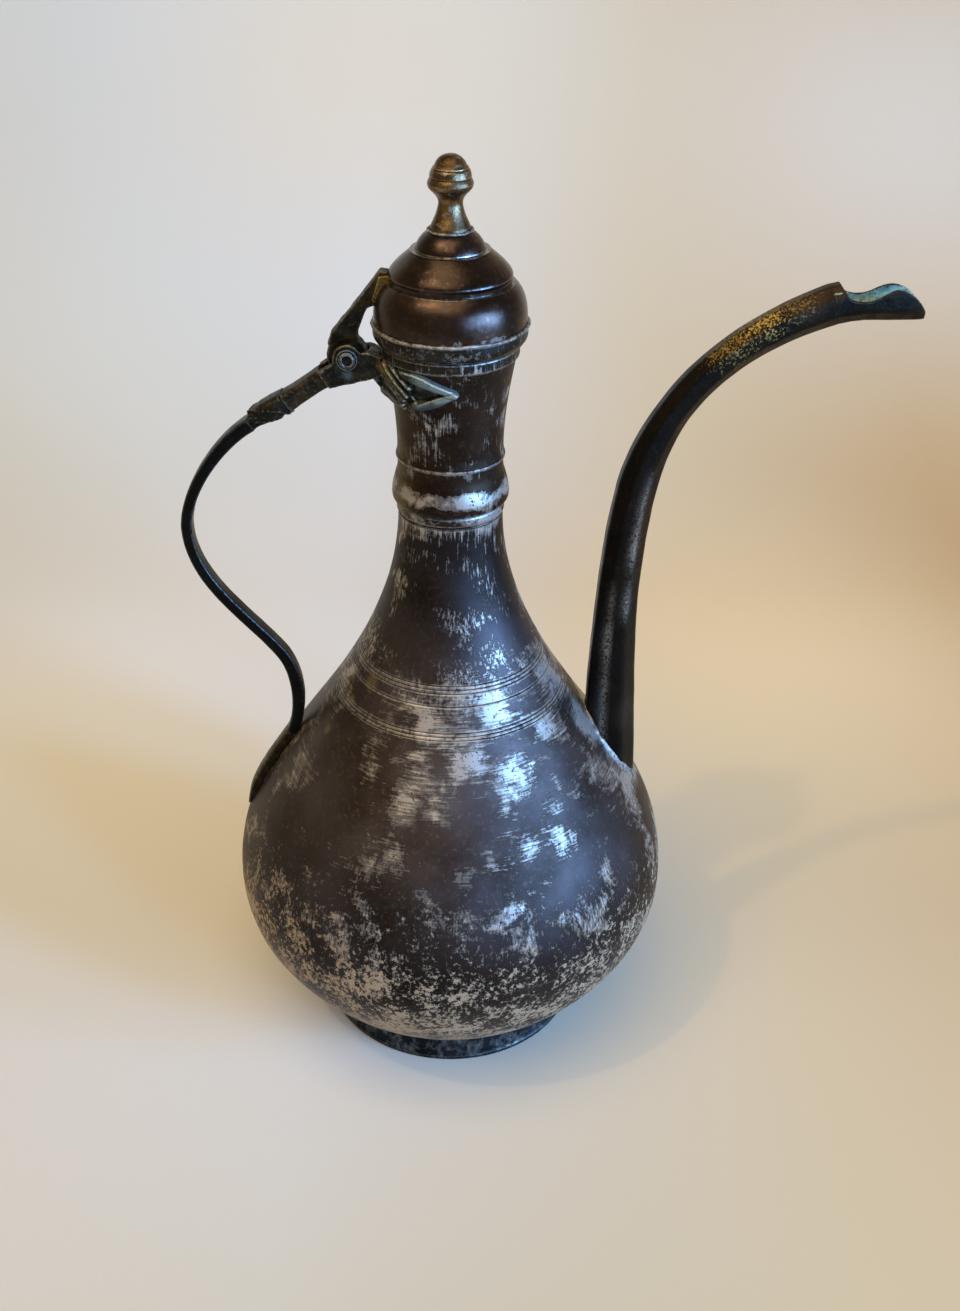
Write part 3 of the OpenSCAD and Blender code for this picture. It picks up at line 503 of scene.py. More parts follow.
neckLook = dict(bodyLook, patch=9.0, dark="#201711", mid="#2d221b", light="#3b302a", rub="#51473c", upright=(0.7, 22.0),
                edge=0.9, toneAndShadeBands=plain,
                tinBands=[(0.64, 0.5), (0.650, 0.60), (0.656, 0.58), (0.659, 0.42), (0.666, 0.44), (0.671, 0.63),
                          (0.681, 0.62), (0.686, 0.43), (0.700, 0.46), (0.712, 0.47), (0.79, 0.45), (0.806, 0.48)],
                streakBands=[(0.6, 0.3), (0.66, 0.12), (0.70, 0.3), (0.715, 0.75), (0.9, 0.75)],
                crustBands=[(0.0, 0.1), (1.0, 0.1)],
                places=[((-8, 16, 240), 5, 0.10), ((-4, 18, 251), 5, 0.08), ((18.5, 6, 247), 5, 0.13),
                        ((18.5, 6, 258), 5, 0.12), ((8, 18, 233), 4, 0.10), ((10, 16, 247), 5, -0.10),
                        ((18, 6, 236), 5, 0.10), ((12, 15, 219), 9, 0.10)],
                stainsAndPaintedLight=[((-22, 9, 222), 12.0, "#6b613f"), ((-24, 9, 251), 11.0, "#4b4330"),
                        ((-23, 9, 236), 11.0, "#5c5338"), ((-16, 14, 243), 5.0, "#2a2114")])
neckCopper = wornTin("tinned copper neck, worn to the brown", neckLook)
# the lid's ridges are rubbed to full pale tin, partly painted highlight lines along them
lidLook = dict(bodyLook, patch=10.0, toneAndShadeBands=plain, dark="#27201e", mid="#3c322f", light="#514643", rub="#6a5e57",
               gloss=0.24, edge=1.0,
               tinBands=[(0.0, 0.3), (0.842, 0.52), (0.846, 0.48), (0.852, 0.34), (0.87, 0.30), (0.882, 0.42),
                         (0.888, 0.32), (0.908, 0.38), (0.914, 0.32), (1.0, 0.36)],
               strokeBands=[(0.0, 0.1), (1.0, 0.1)], streakBands=[(0.0, 0.0), (1.0, 0.0)],
               crustBands=[(0.0, 0.1), (0.844, 0.30), (0.853, 0.12), (0.9, 0.14), (1.0, 0.2)], places=[], stainsAndPaintedLight=[])
lidCopper = wornTin("spun copper lid, brown", lidLook)
print("materials: copper done")


def agedMetal(name, look):
    # Cast or forged copper alloy, never polished since: a dark skin, brighter where hands and edges rub it,
    # dirt in the hollows, and a green-blue or ochre bloom in places.
    # stains, flecks and rubbed edges also carry painted highlights, glints and shade where a look asks for it
    material, tree, shader, point = startMaterial(name)
    slow = addNode(tree, "TexNoise", {"Scale": 1 / look["patch"], "Detail": 5.0, "Roughness": 0.6}, {"Vector": point})
    fine = addNode(tree, "TexNoise", {"Scale": 1 / look["grit"], "Detail": 6.0, "Roughness": 0.72}, {"Vector": point})
    shifted = addNode(tree, "Mapping", {"Location": (9.0, 5.0, 3.0)}, {"Vector": point})
    cloud = addNode(tree, "TexNoise", {"Scale": 1.6 / look["patch"], "Detail": 6.0, "Roughness": 0.7},
                    {"Vector": shifted})
    skin = addNode(tree, "ValToRGB", {"stops": [(0.34, look["dark"]), (0.5, look["mid"]), (0.66, look["light"])]},
                   {"Fac": slow})
    grains = addNode(tree, "MapRange", {"From Min": 0.55, "From Max": 0.70, "To Max": look["grains"]}, {"Value": fine})
    colour = addNode(tree, "Mix", {"data_type": "RGBA", 7: look["rub"]}, {0: grains, 6: skin}).outputs[2]
    bloom = addNode(tree, "MapRange", {**soft, "From Min": look["bloomFrom"], "From Max": look["bloomFrom"] + 0.08},
                    {"Value": cloud})
    colour = addNode(tree, "Mix", {"data_type": "RGBA", 7: look["bloom"]}, {0: bloom, 6: colour}).outputs[2]
    mirrored = mirroredPoint(tree, point)[1]
    colour = paintStainsAndLight(tree, colour, mirrored, fine, look["stainsAndPaintedLight"])
    for centre, reach, tint, most in look.get("flecksAndGlints", []):
        # rubbed flecks of bare metal, thinning out from the middle of the place, bright enough to stand as painted
        # glints
        away = addNode(tree, "VectorMath", {"operation": "DISTANCE", 1: centre}, {0: mirrored})
        near = addNode(tree, "MapRange", {**soft, "From Min": reach, "From Max": reach * 0.3, "To Max": 0.12},
                       {"Value": away.outputs["Value"]})
        denser = addNode(tree, "Math", {"operation": "ADD"}, {0: fine, 1: near})
        fleck = addNode(tree, "MapRange", {"From Min": 0.60, "From Max": 0.68, "To Max": most}, {"Value": denser})
        within = addNode(tree, "MapRange", {"From Max": 0.03}, {"Value": near})
        fleck = addNode(tree, "Math", {"operation": "MULTIPLY"}, {0: fleck, 1: within})
        colour = addNode(tree, "Mix", {"data_type": "RGBA", 7: tint}, {0: fleck, 6: colour}).outputs[2]
    if "worn" in look:
        # arrises rubbed to grey metal, marked on the mesh
        streak = addNode(tree, "Attribute", {"attribute_name": "streak"}).outputs["Fac"]
        broken = addNode(tree, "MapRange", {"From Min": 0.40, "From Max": 0.54, "To Max": 0.85}, {"Value": fine})
        streak = addNode(tree, "Math", {"operation": "MULTIPLY"}, {0: streak, 1: broken})
        colour = addNode(tree, "Mix", {"data_type": "RGBA", 7: look["worn"]}, {0: streak, 6: colour}).outputs[2]
    if "verdigris" in look:
        # inside faces marked on the mesh
        inside = addNode(tree, "Attribute", {"attribute_name": "inside"}).outputs["Fac"]
        spots = addNode(tree, "MapRange", {"From Min": 0.36, "From Max": 0.46}, {"Value": fine})
        inside = addNode(tree, "Math", {"operation": "MULTIPLY"}, {0: inside, 1: spots})
        deep, pale = look["verdigris"]
        paler = addNode(tree, "MapRange", {"From Min": 0.4, "From Max": 0.6}, {"Value": slow})
        green = addNode(tree, "Mix", {"data_type": "RGBA", 6: deep, 7: pale}, {0: paler})
        colour = addNode(tree, "Mix", {"data_type": "RGBA"}, {0: inside, 6: colour, 7: green.outputs[2]}).outputs[2]
    colour = edgeRubHighlightAndDirt(tree, colour, fine, castMarks, look["edgeTint"], look["edge"])
    tree.links.new(colour, shader.inputs["Base Color"])
    metal = addNode(tree, "MapRange", {"To Min": look["metallic"], "To Max": look["metallic"] * 0.4}, {"Value": bloom})
    if "verdigris" in look:
        metal = addNode(tree, "Mix", {"data_type": "FLOAT", 3: 0.1}, {0: inside, 2: metal})
    tree.links.new(metal.outputs[0], shader.inputs["Metallic"])
    rough = addNode(tree, "MapRange", {"From Min": 0.3, "From Max": 0.7, "To Min": look["gloss"] + 0.12,
                                       "To Max": look["gloss"] - 0.1}, {"Value": slow})
    tree.links.new(rough.outputs[0], shader.inputs["Roughness"])
    relief = addNode(tree, "Math", {"operation": "MULTIPLY_ADD", 1: 0.8}, {0: slow, 2: fine})
    relief = addNode(tree, "Bump", {"Distance": look["depth"] * mm}, {"Height": relief})
    tree.links.new(relief.outputs["Normal"], shader.inputs["Normal"])
    return material


# Sand-cast bronze, with the mould's grit in its skin and patches of 5 mm. Such grit is typically 0.2 to 0.4 mm, too
# fine to show, so here and in the metals below it is drawn as coarse as it needs to be, 0.6 to 0.9 mm.
castLook = {"patch": 5.0, "grit": 0.9, "dark": "#0f0f0d", "mid": "#1e1e1a", "light": "#34322a", "rub": "#555145",
            "grains": 0.85, "bloom": "#4f6266", "bloomFrom": 0.60, "metallic": 0.85, "gloss": 0.40, "depth": 0.2,
            "edge": 0.6, "edgeTint": "#8d8b7c", "stainsAndPaintedLight": []}
castBronze = agedMetal("sand-cast bronze, dark",
                       dict(castLook,
                            stainsAndPaintedLight=[((-21.0, 5.0, 265.5), 3.0, "#7a6231", 0.9),
                                    ((-33.0, 7.0, 262.0), 2.6, "#5d6c70", 0.7)]))
armBronze = agedMetal("sand-cast bronze arm, handled",
                      dict(castLook, dark="#12100d", mid="#27231d", light="#3d3529", rub="#6f6654", bloomFrom=0.62,
                           edgeTint="#8b8577"))
gripBronze = agedMetal("forged bronze bar, handled black",
                       dict(castLook, patch=9.0, dark="#060607", mid="#090909", light="#101114", rub="#212426",
                            bloom="#1e2b35", bloomFrom=0.64, gloss=0.36, depth=0.14, edge=0.75, edgeTint="#535f66"))
tailBronze = agedMetal("forged bronze tail, olive",
                       dict(castLook, patch=5.0, dark="#100f0b", mid="#232015", light="#3a3423", rub="#5d5234",
                            bloomFrom=0.68, edge=0.7, edgeTint="#877a52"))
# pipe folded from sheet and brazed, then blacked by the fire: brown-gold where it is rubbed, and gold flecks high on
# the pipe that are painted glints of the lamp on its top facets
spoutLook = dict(castLook, patch=11.0, grit=0.8, dark="#070605", mid="#0c0a08", light="#17110c", rub="#3a3022",
                 grains=0.5, bloom="#2b2825", bloomFrom=0.74, gloss=0.36, depth=0.3, edge=0.35, edgeTint="#5a5249",
                 worn="#8d8780",
                 stainsAndPaintedLight=[((68.0, 12.0, 133.0), 11.0, "#2f2b27", 0.7), ((90.0, 1.0, 275.0), 14.0, "#1d160c", 0.7),
                         ((112.0, 1.0, 287.0), 10.0, "#3a2e20", 0.7)],
                 # gold flecks: rubbed metal, placed and brightened as painted glints where the top facets catch the
                 # lamp
                 flecksAndGlints=[((88.0, 1.0, 273.5), 15.0, "#8f7a45", 0.8), ((98.0, 1.0, 281.0), 13.0, "#ae9656", 0.9),
                         ((109.0, 1.0, 286.5), 11.0, "#7d6a48", 0.8)])
spoutCopper = agedMetal("brazed copper pipe, fire-blacked", spoutLook)
beakCopper = agedMetal("copper beak with verdigris inside",
                       dict(spoutLook, patch=4.0, flecksAndGlints=[], dark="#060606", mid="#0d0c0b", light="#191613",
                            rub="#2c2722", bloom="#2b3a3d", bloomFrom=0.66, verdigris=("#5d877f", "#a8c3b6"),
                            stainsAndPaintedLight=[((121.5, 3.0, 288.0), 3.6, "#3a2a17", 0.9)]))
finialBrass = agedMetal("turned brass knob, aged",
                        dict(castLook, patch=6.0, grit=0.7, dark="#35291d", mid="#62503a", light="#857259",
                             rub="#a3927a", grains=0.6, bloom="#7d7c78", bloomFrom=0.58, metallic=1.0, gloss=0.30,
                             depth=0.12, edge=0.7, edgeTint="#cfc3ae"))
hingeIron = agedMetal("riveted pin, dark",
                      dict(castLook, patch=2.5, grit=0.6, dark="#0a0a0a", mid="#161614", light="#2b2b28", rub="#4a5152",
                           bloomFrom=0.7, edgeTint="#a8b4b8"))
ochreSolder = agedMetal("soft solder, ochre stained",
                        dict(castLook, patch=2.2, grit=0.7, dark="#2c2413", mid="#5c4b24", light="#7a6636",
                             rub="#94835a", bloom="#6d6858", bloomFrom=0.66, metallic=0.5, gloss=0.5,
                             edgeTint="#b0a275"))
# the wings' pale blue patches near the upper bar's tip and their pale blue rubbed edges are partly pale metal, partly
# painted highlights of the window; the two near-black spots in the sunk field between the bars are painted shade; the
# last patch is an ochre stain
saddleBronze = agedMetal("sand-cast bronze wings, verdigris",
                         dict(castLook, patch=3.6, mid="#1d1d18", light="#332f23", bloom="#4a5a5c", bloomFrom=0.64,
                              edge=1.0, edgeTint="#a9bcc4",
                              stainsAndPaintedLight=[((2.0, 20.5, 261.2), 4.6, "#8fa6ae", 0.75),
                                      ((-3.0, 20.6, 263.6), 5.6, "#8fa6ae", 0.75),
                                      ((-8.0, 19.0, 265.6), 5.2, "#86a0aa", 0.7),
                                      ((-2.0, 20.6, 258.6), 4.6, "#8fa6ae", 0.7),
                                      ((-8.0, 19.0, 255.6), 4.4, "#6d848d", 0.6),
                                      ((-7.0, 19.2, 260.4), 3.6, "#14130f", 0.9),
                                      ((-3.0, 20.2, 260.9), 2.2, "#14130f", 0.9),
                                      ((-20.0, 8.0, 266.0), 4.0, "#5d4c27", 0.8)]))
strapBronze = agedMetal("sand-cast bronze strap",
                        dict(castLook, patch=4.0, mid="#211f18", light="#383225", bloomFrom=0.66,
                             stainsAndPaintedLight=[((-20.5, 2.5, 291.0), 3.4, "#6f5a2a", 0.9)]))


def wipedSolder(name):
    # Tin and lead solder wiped on with a cloth: pale dull grey, lumpy, with dirt in the low places. Its
    # lumps, 1.6 mm across, and its patches of dirt, 4.5 mm, are large enough to show.
    material, tree, shader, point = startMaterial(name)
    lumps = addNode(tree, "TexNoise", {"Scale": 1 / 1.6, "Detail": 5.0, "Roughness": 0.7}, {"Vector": point})
    dirt = addNode(tree, "TexNoise", {"Scale": 1 / 4.5, "Detail": 4.0, "Roughness": 0.6}, {"Vector": point})
    colour = addNode(tree, "ValToRGB", {"stops": [(0.34, "#44413d"), (0.48, "#7d7c7a"), (0.64, "#a9a9a8")]},
                     {"Fac": lumps})
    low = addNode(tree, "MapRange", {**soft, "From Min": 0.57, "From Max": 0.68}, {"Value": dirt})
    colour = addNode(tree, "Mix", {"data_type": "RGBA", 7: "#453e36"}, {0: low, 6: colour})
    tree.links.new(colour.outputs[2], shader.inputs["Base Color"])
    shader.inputs["Metallic"].default_value = 0.7
    shader.inputs["Roughness"].default_value = 0.45
    relief = addNode(tree, "Bump", {"Distance": 0.25 * mm}, {"Height": lumps})
    tree.links.new(relief.outputs["Normal"], shader.inputs["Normal"])
    return material


solderGrey = wipedSolder("soft solder, wiped")
print("materials: bronze, brass and solder done")


# body

body = {
    "foot": (49.2, 47.0, 9.0, 1.6),     # ground radius, top radius, height, sheet
    "belly": (81.0, 63.5), "neck": (17.8, 212.0), "sheet": 1.4,
    "lean": 34.4,     # degrees, where the side runs straight
    "lines": [0.505, 0.352], "linePitch": 1.1, "lineDepth": 0.2, "lineHalf": 0.24,
}


lean = (-math.sin(math.radians(body["lean"])), math.cos(math.radians(body["lean"])))


def bodyCurves():
    # outside of the bowl, of the shoulder's round part and of its long run to the neck
    bellyR, bellyZ = body["belly"]
    neckR, neckZ = body["neck"]
    rise = neckZ - bellyZ
    mid = (0.712 * bellyR, bellyZ + 0.38 * rise)
    a = (body["foot"][1], body["foot"][2])
    footLean = math.radians(46)
    b = (a[0] + 0.285 * bellyZ * math.sin(footLean), a[1] + 0.285 * bellyZ * math.cos(footLean))
    d = (bellyR, bellyZ)
    bowl = (a, b, (bellyR, bellyZ - 0.372 * bellyZ), d)
    upper = (d, (bellyR, bellyZ + 0.161 * rise), (mid[0] - 0.125 * rise * lean[0], mid[1] - 0.125 * rise * lean[1]),
             mid)
    long = (mid, (mid[0] + 0.148 * rise * lean[0], mid[1] + 0.148 * rise * lean[1]), (neckR, neckZ - 0.258 * rise),
            (neckR, neckZ))
    return bowl, upper, long


bowlCurve, upperCurve, longCurve = bodyCurves()
outerLine = [cubic(*bowlCurve, i / 400) for i in range(401)] + run(*upperCurve, 300) + run(*longCurve, 500)


def bodyRadius(z):
    # radius of the body's outside at a height
    low, high = 0, len(outerLine) - 1
    while high - low > 1:
        middle = (low + high) // 2
        low, high = (middle, high) if outerLine[middle][1] < z else (low, middle)
    (r0, z0), (r1, z1) = outerLine[low], outerLine[high]
    return r0 + (r1 - r0) * (z - z0) / ((z1 - z0) or 1)


def inward(points, w):
    # the line that lies w inside an outline
    out = []
    for i, p in enumerate(points):
        a, b = points[max(i - 1, 0)], points[min(i + 1, len(points) - 1)]
        d = math.dist(a, b)
        out.append((p[0] - w * (b[1] - a[1]) / d, p[1] + w * (b[0] - a[0]) / d))
    return out


def engraved(curve):
    # the long run of the shoulder with its turned lines cut in
    length = 0.6 * (body["neck"][1] - body["belly"][1])
    upper, lower = body["lines"]
    marks = [t + k * body["linePitch"] / length for t in body["lines"] for k in (-1, 0, 1)]
    marks.append(0.65 * upper + 0.35 * lower)
    out = [(i / 140, 0.0) for i in range(1, 141)]
    half = body["lineHalf"] / length
    for t in marks:
        out = [(s, d) for s, d in out if abs(s - t) > half * 1.15]
        out += [(t + half * k / 3, body["lineDepth"] * math.cos(math.pi * k / 6) ** 2) for k in range(-3, 4)]
    out.sort()
    line = []
    for s, depth in out:
        p, q = cubic(*curve, s), cubic(*curve, min(s + 0.001, 1.0))
        d = math.dist(p, q) or 1
        nx, nz = ((q[1] - p[1]) / d, -(q[0] - p[0]) / d) if s < 1 else (1, 0)
        line.append((p[0] - nx * depth, p[1] - nz * depth))
    return line


footA, footB, footH, footSheet = body["foot"]
# the foot leans in, on a small bead at the ground
footOutline = rounded([(footA - footSheet, 0), (footA - 0.4, 0), (footA, 0.5), (footA, 1.6), (footA - 0.5, 2.2),
                       (footB, footH),
                       (footB - footSheet, footH), (footA - footSheet - 0.7, 1.8)], 0.4)


def footWork(p):
    # the foot is knocked out of round by hand, but stands flat
    return 0.30 * (noise.noise(Vector(p) / 26 + Vector((4, 4, 4)))
                   + 0.35 * noise.noise(Vector(p) / 5)) * smooth(p[2] / 2.0)


footRing = turned("footRing", refine(footOutline, 0.8), offset=footWork)
dress(footRing, "pot", footCopper, "foot_copper", "foot_ring")

sheet = body["sheet"]
bowlOut = [cubic(*bowlCurve, i / 80) for i in range(81)]
bowlIn = [p for p in inward(bowlOut, sheet) if footH + sheet + 0.4 < p[1] < body["belly"][1] - 0.5]
shoulderOut = [body["belly"]] + run(*upperCurve, 60) + engraved(longCurve)
shoulderIn = [p for p in inward([body["belly"]] + run(*upperCurve, 60) + run(*longCurve, 100), sheet)
              if body["belly"][1] + 0.5 < p[1] < body["neck"][1] - 0.5]
bowl = turned("bowlSheet", [(0, footH)] + [(r, footH) for r in (15, 30, 42)] + bowlOut
              + [(body["belly"][0] - sheet, body["belly"][1])] + bowlIn[::-1]
              + [(30, footH + sheet), (0, footH + sheet)], offset=handWork)
shoulder = turned("shoulderSheet", shoulderOut + [(body["neck"][0] - sheet, body["neck"][1])] + shoulderIn[::-1]
                  + [(body["belly"][0] - sheet, body["belly"][1])], offset=handWork, sharp=60)


def joinNormals(piece, ringHeight, normalOf):
    # the two halves share one run of normals at their joint, so that it doesn't show
    mesh = piece.data
    normals = [Vector(n.vector) for n in mesh.corner_normals]
    for loop in mesh.loops:
        co = mesh.vertices[loop.vertex_index].co / mm
        if abs(co.z - ringHeight) < 0.02 and math.hypot(co.x, co.y) > body["belly"][0] - 0.8:
            normals[loop.index] = normalOf(co)
    mesh.normals_split_custom_set([tuple(n) for n in normals])


for half in (bowl, shoulder):
    joinNormals(half, body["belly"][1], lambda co: Vector((co.x, co.y, 0)).normalized())
dress(bowl, "pot", bodyCopper, "body_copper", "bowl")
dress(shoulder, "pot", bodyCopper, "body_copper", "shoulder")
print("body: foot, bowl and shoulder done")


# neck

neck = {"collarTop": 216.6, "beadTop": 232.4, "tubeTop": 267.6, "mouthTop": 271.5, "beadR": 19.8, "mouthR": 21.5,
        "ringOut": 0.9}
neckR, neckZ = body["neck"]
neckIn = neckR - sheet


def neckWork(p):
    return handWork(p, 0.12)


collarTop = neck["collarTop"]
collar = turned("neckCollar", refine(rounded([(neckIn, neckZ), (neckR - 0.3, neckZ), (neckR - 0.3, neckZ + 1),
                                              (neckR + 0.5, neckZ + 1.4), (neckR + 0.5, collarTop - 0.7),
                                              (neckR, collarTop), (neckIn, collarTop)], 0.45), 0.8), offset=neckWork)
dress(collar, "pot", neckCopper, "trim_copper", "neck_collar")

beadH = neck["beadTop"] - collarTop
beadZ = collarTop + 0.2 * beadH
beadR = neck["beadR"]
beadOutline = ([(neckIn, collarTop), (neckR + 0.1, collarTop)]
               + run((neckR + 0.1, collarTop), (beadR, collarTop + 0.3), (beadR, beadZ - 1.4), (beadR, beadZ), 12)
               + run((beadR, beadZ), (beadR, beadZ + 2.7), (beadR - 0.9, beadZ + 4.6),
                     (neckR + 0.6, beadZ + 0.43 * beadH), 14)
               + run((neckR + 0.6, beadZ + 0.43 * beadH), (neckR + 0.1, beadZ + 0.47 * beadH),
                     (neckR - 0.2, beadZ + 0.62 * beadH), (neckR - 0.1, neck["beadTop"]), 6)
               + [(neckIn, neck["beadTop"]), (neckIn, beadZ + 2.8), (beadR - sheet, beadZ + 1.2),
                  (beadR - sheet, beadZ - 1.2), (neckIn, beadZ - 2.4)])
bead = turned("neckBead", refine(beadOutline, 0.8), offset=neckWork, sharp=50)
dress(bead, "pot", neckCopper, "body_copper", "neck_bead")

tubeLen = neck["tubeTop"] - neck["beadTop"]
tubeZ = neck["beadTop"]
mouthR = neck["mouthR"]
boreR = mouthR - sheet
tubeA, tubeD = (neckR - 0.1, tubeZ + 0.1 * tubeLen), (mouthR, neck["tubeTop"])
flare = run(tubeA, (tubeA[0], tubeA[1] + 0.3 * tubeLen), (tubeD[0] - 2, tubeD[1] - 0.28 * tubeLen), tubeD, 40)
tubeOut = rounded([(neckR - 0.6, tubeZ), (neckR + 0.5, tubeZ), (neckR + 0.55, tubeZ + 0.7), (neckR + 0.2, tubeZ + 1.2),
                   tubeA], 0.5, closed=False) + flare


def neckRadius(z):
    # outside of the flared tube at a height
    if z <= tubeA[1]:
        return tubeA[0]
    for (r0, z0), (r1, z1) in zip([tubeA] + flare, flare):
        if z <= z1:
            return r0 + (r1 - r0) * (z - z0) / (z1 - z0)
    return mouthR


tubeIn = [(neckRadius(z) - sheet, z) for z in [neck["tubeTop"] - 1.2 * i for i in range(1, 27)]]
tube = turned("neckTube", refine(tubeOut + [(boreR, neck["tubeTop"])] + tubeIn + [(neckIn, tubeZ + 2), (neckIn, tubeZ)],
                                 1.0), offset=neckWork, sharp=50)
dress(tube, "pot", neckCopper, "body_copper", "neck_tube")

ringR = mouthR + neck["ringOut"]
ringZ, mouthZ = neck["tubeTop"], neck["mouthTop"]
mouth = turned("mouthRing", refine(rounded([(boreR, ringZ), (mouthR, ringZ), (ringR - 0.1, ringZ + 0.1),
                                            (ringR, ringZ + 0.6), (ringR, mouthZ - 0.7), (ringR - 0.6, mouthZ),
                                            (boreR, mouthZ)], 0.35), 0.8),
               offset=neckWork)
dress(mouth, "pot", trimCopper, "trim_copper", "mouth_ring")
print("neck: collar, bead, tube and mouth done")


# spout

spout = {"rootR": 9.5, "waist": 5.1, "tip": 6.4, "reach": 61.8, "top": 283.3, "wall": 1.3, "corner": 0.19}
rise = neckZ - body["belly"][1]
rootX, rootZ = 0.731 * body["belly"][0], body["belly"][1] + 0.327 * rise
span = spout["top"] - rootZ
reach = spout["reach"]
pipeEnd = (rootX + reach, spout["top"])
bend = (rootX + 0.047 * reach, rootZ + 0.603 * span)
pipePath = ([(rootX + 0.5, rootZ - 24), (rootX + 0.4, rootZ - 20), (rootX + 0.2, rootZ - 9), (rootX, rootZ)]
            + run((rootX, rootZ), (rootX - 1, rootZ + 0.186 * span), (rootX - 2.3, rootZ + 0.4 * span), bend, 14)
            + run(bend, (rootX + 0.131 * reach, rootZ + 0.806 * span), (rootX + 0.479 * reach, rootZ + 0.932 * span),
                  pipeEnd, 18))
pipeCount = len(pipePath) - 1
rootR, waistR, tipR = spout["rootR"], spout["waist"], spout["tip"]
halfWide = [(0, rootR), (0.1, rootR - 0.2), (0.2, 0.9 * rootR), (0.33, 0.76 * rootR), (0.52, 0.68 * rootR),
            (0.66, waistR + 0.3), (0.78, waistR), (1, waistR + 0.2)]
halfThick = [(0, rootR), (0.1, rootR - 0.2), (0.2, 0.9 * rootR), (0.33, 0.76 * rootR), (0.52, 0.69 * rootR),
             (0.66, waistR + 0.3), (0.78, waistR + 0.2), (0.92, waistR + 0.7), (1, tipR)]
beakStations = [(pipeEnd[0] + s * 29.6, pipeEnd[1] + tipR * min(s / 0.34, 1) * (0.391 - 0.117 * min(s / 0.34, 1)))
                for s in (0.17, 0.34)]
stations = [(x, z, read(i / pipeCount, halfWide), read(i / pipeCount, halfThick)) for i, (x, z) in enumerate(pipePath)]
stations += [(x, z, waistR + 0.2, tipR) for x, z in beakStations]
fineStations = catmull(stations, 4)[4 * 2:4 * pipeCount + 1]
fineTangents = tangents(catmull(stations, 4))[4 * 2:4 * pipeCount + 1]


def eightSided(halfW, halfT, corner):
    # octagon with rounded arrises, as offsets (across, up), with as many points to each side
    k = 0.414     # tangent of 22.5 degrees
    c = [(halfW, -k * halfT), (halfW, k * halfT), (k * halfW, halfT), (-k * halfW, halfT),
         (-halfW, k * halfT), (-halfW, -k * halfT), (-k * halfW, -halfT), (k * halfW, -halfT)]
    out = []
    for i in range(8):
        before, at, after = c[i - 1], c[i], c[(i + 1) % 8]
        start, end = between(at, before, corner), between(at, after, corner)
        out += [bowed(start, at, end, j / 4) for j in range(5)]
        out += [between(end, between(after, at, corner), t) for t in (0.33, 0.67)]
    return out


def spoutRing(station, tangent, cut):
    # one ring of the pipe, cut mm inside its outer face; the outer face is dented by hand
    x, z, halfW, halfT = station
    dx, dz = tangent
    ring = []
    for across, up in eightSided(halfW - cut, halfT - cut, spout["corner"]):
        p = Vector((x - dz * up, across, z + dx * up))
        away = Vector((p.x - x, p.y, p.z - z)).normalized()
        dent = 0.10 * noise.noise(p / 11) + 0.05 * noise.noise(p / 4) if not cut else 0
        ring.append(tuple(p + away * dent))
    return ring


outerRings = [spoutRing(s, t, 0) for s, t in zip(fineStations, fineTangents)]
innerRings = [spoutRing(s, t, spout["wall"]) for s, t in zip(fineStations, fineTangents)]
m = len(outerRings[0])
count = len(outerRings)
perSide = m // 8
outerFaces = ringFaces(count, m)
innerFaces = [[v + count * m for v in (a, d, c, b)] for a, b, c, d in outerFaces]
rootFaces = [[j, count * m + j, count * m + (j + 1) % m, (j + 1) % m] for j in range(m)]
endOut, endIn = (count - 1) * m, (2 * count - 1) * m
tipFaces = [[endOut + j, endOut + (j + 1) % m, endIn + (j + 1) % m, endIn + j] for j in range(m)]
pipe = buildMesh("spoutPipe", [p for ring in outerRings + innerRings for p in ring],
                 outerFaces + innerFaces + rootFaces + tipFaces, 50)
# two arrises are rubbed, one low down and one higher up: arris, then from and to in height
streakMark = pipe.data.attributes.new("streak", "FLOAT", "POINT")
for i, (x, z, halfW, halfT) in enumerate(fineStations):
    for arris, low, high in ((4, 108.0, 190.0), (5, 168.0, 232.0)):
        share = smooth((z - low) / 14) * smooth((high - z) / 16)
        wander = 0.55 + 0.9 * noise.noise(Vector((arris * 7.0, z / 13, 2)))
        for j, near in ((-1, 0.15), (0, 0.5), (1, 1.0), (2, 1.0), (3, 0.9), (4, 0.4)):
            mark = streakMark.data[i * m + (arris * perSide + j) % m]
            mark.value = max(mark.value, min(1, share * near * wander * 1.3))
dress(pipe, "pot", spoutCopper, "spout_copper", "spout_pipe")

beak = castCopy("spoutBeak", "spout_beak", 0.28, 3, 0.06, 2.4)
# verdigris sits inside the open channel, below its rim
rimHeight = {}
for v in beak.data.vertices:
    key = round(v.co.x / mm)
    rimHeight[key] = max(rimHeight.get(key, 0), v.co.z / mm)
insideMark = beak.data.attributes.new("inside", "FLOAT", "POINT")
for v in beak.data.vertices:
    below = rimHeight[round(v.co.x / mm)] - v.co.z / mm
    facing = -v.normal.y * math.copysign(1, v.co.y)
    floorLike = v.normal.z > 0.35 and below > 2.0 and abs(v.co.y) / mm < 4.0
    insideMark.data[v.index].value = 1.0 if (facing > 0.15 or floorLike) and below > 0.3 else 0.0
dress(beak, "pot", beakCopper, "spout_copper", "spout_beak")


def onBody(x, y):
    # the point of the body's upper half straight over (x, y)
    r = math.hypot(x, y)
    low, high = body["belly"][1], body["neck"][1]
    for _ in range(30):
        middle = (low + high) / 2
        low, high = (middle, high) if bodyRadius(middle) > r else (low, middle)
    return (x, y, low)


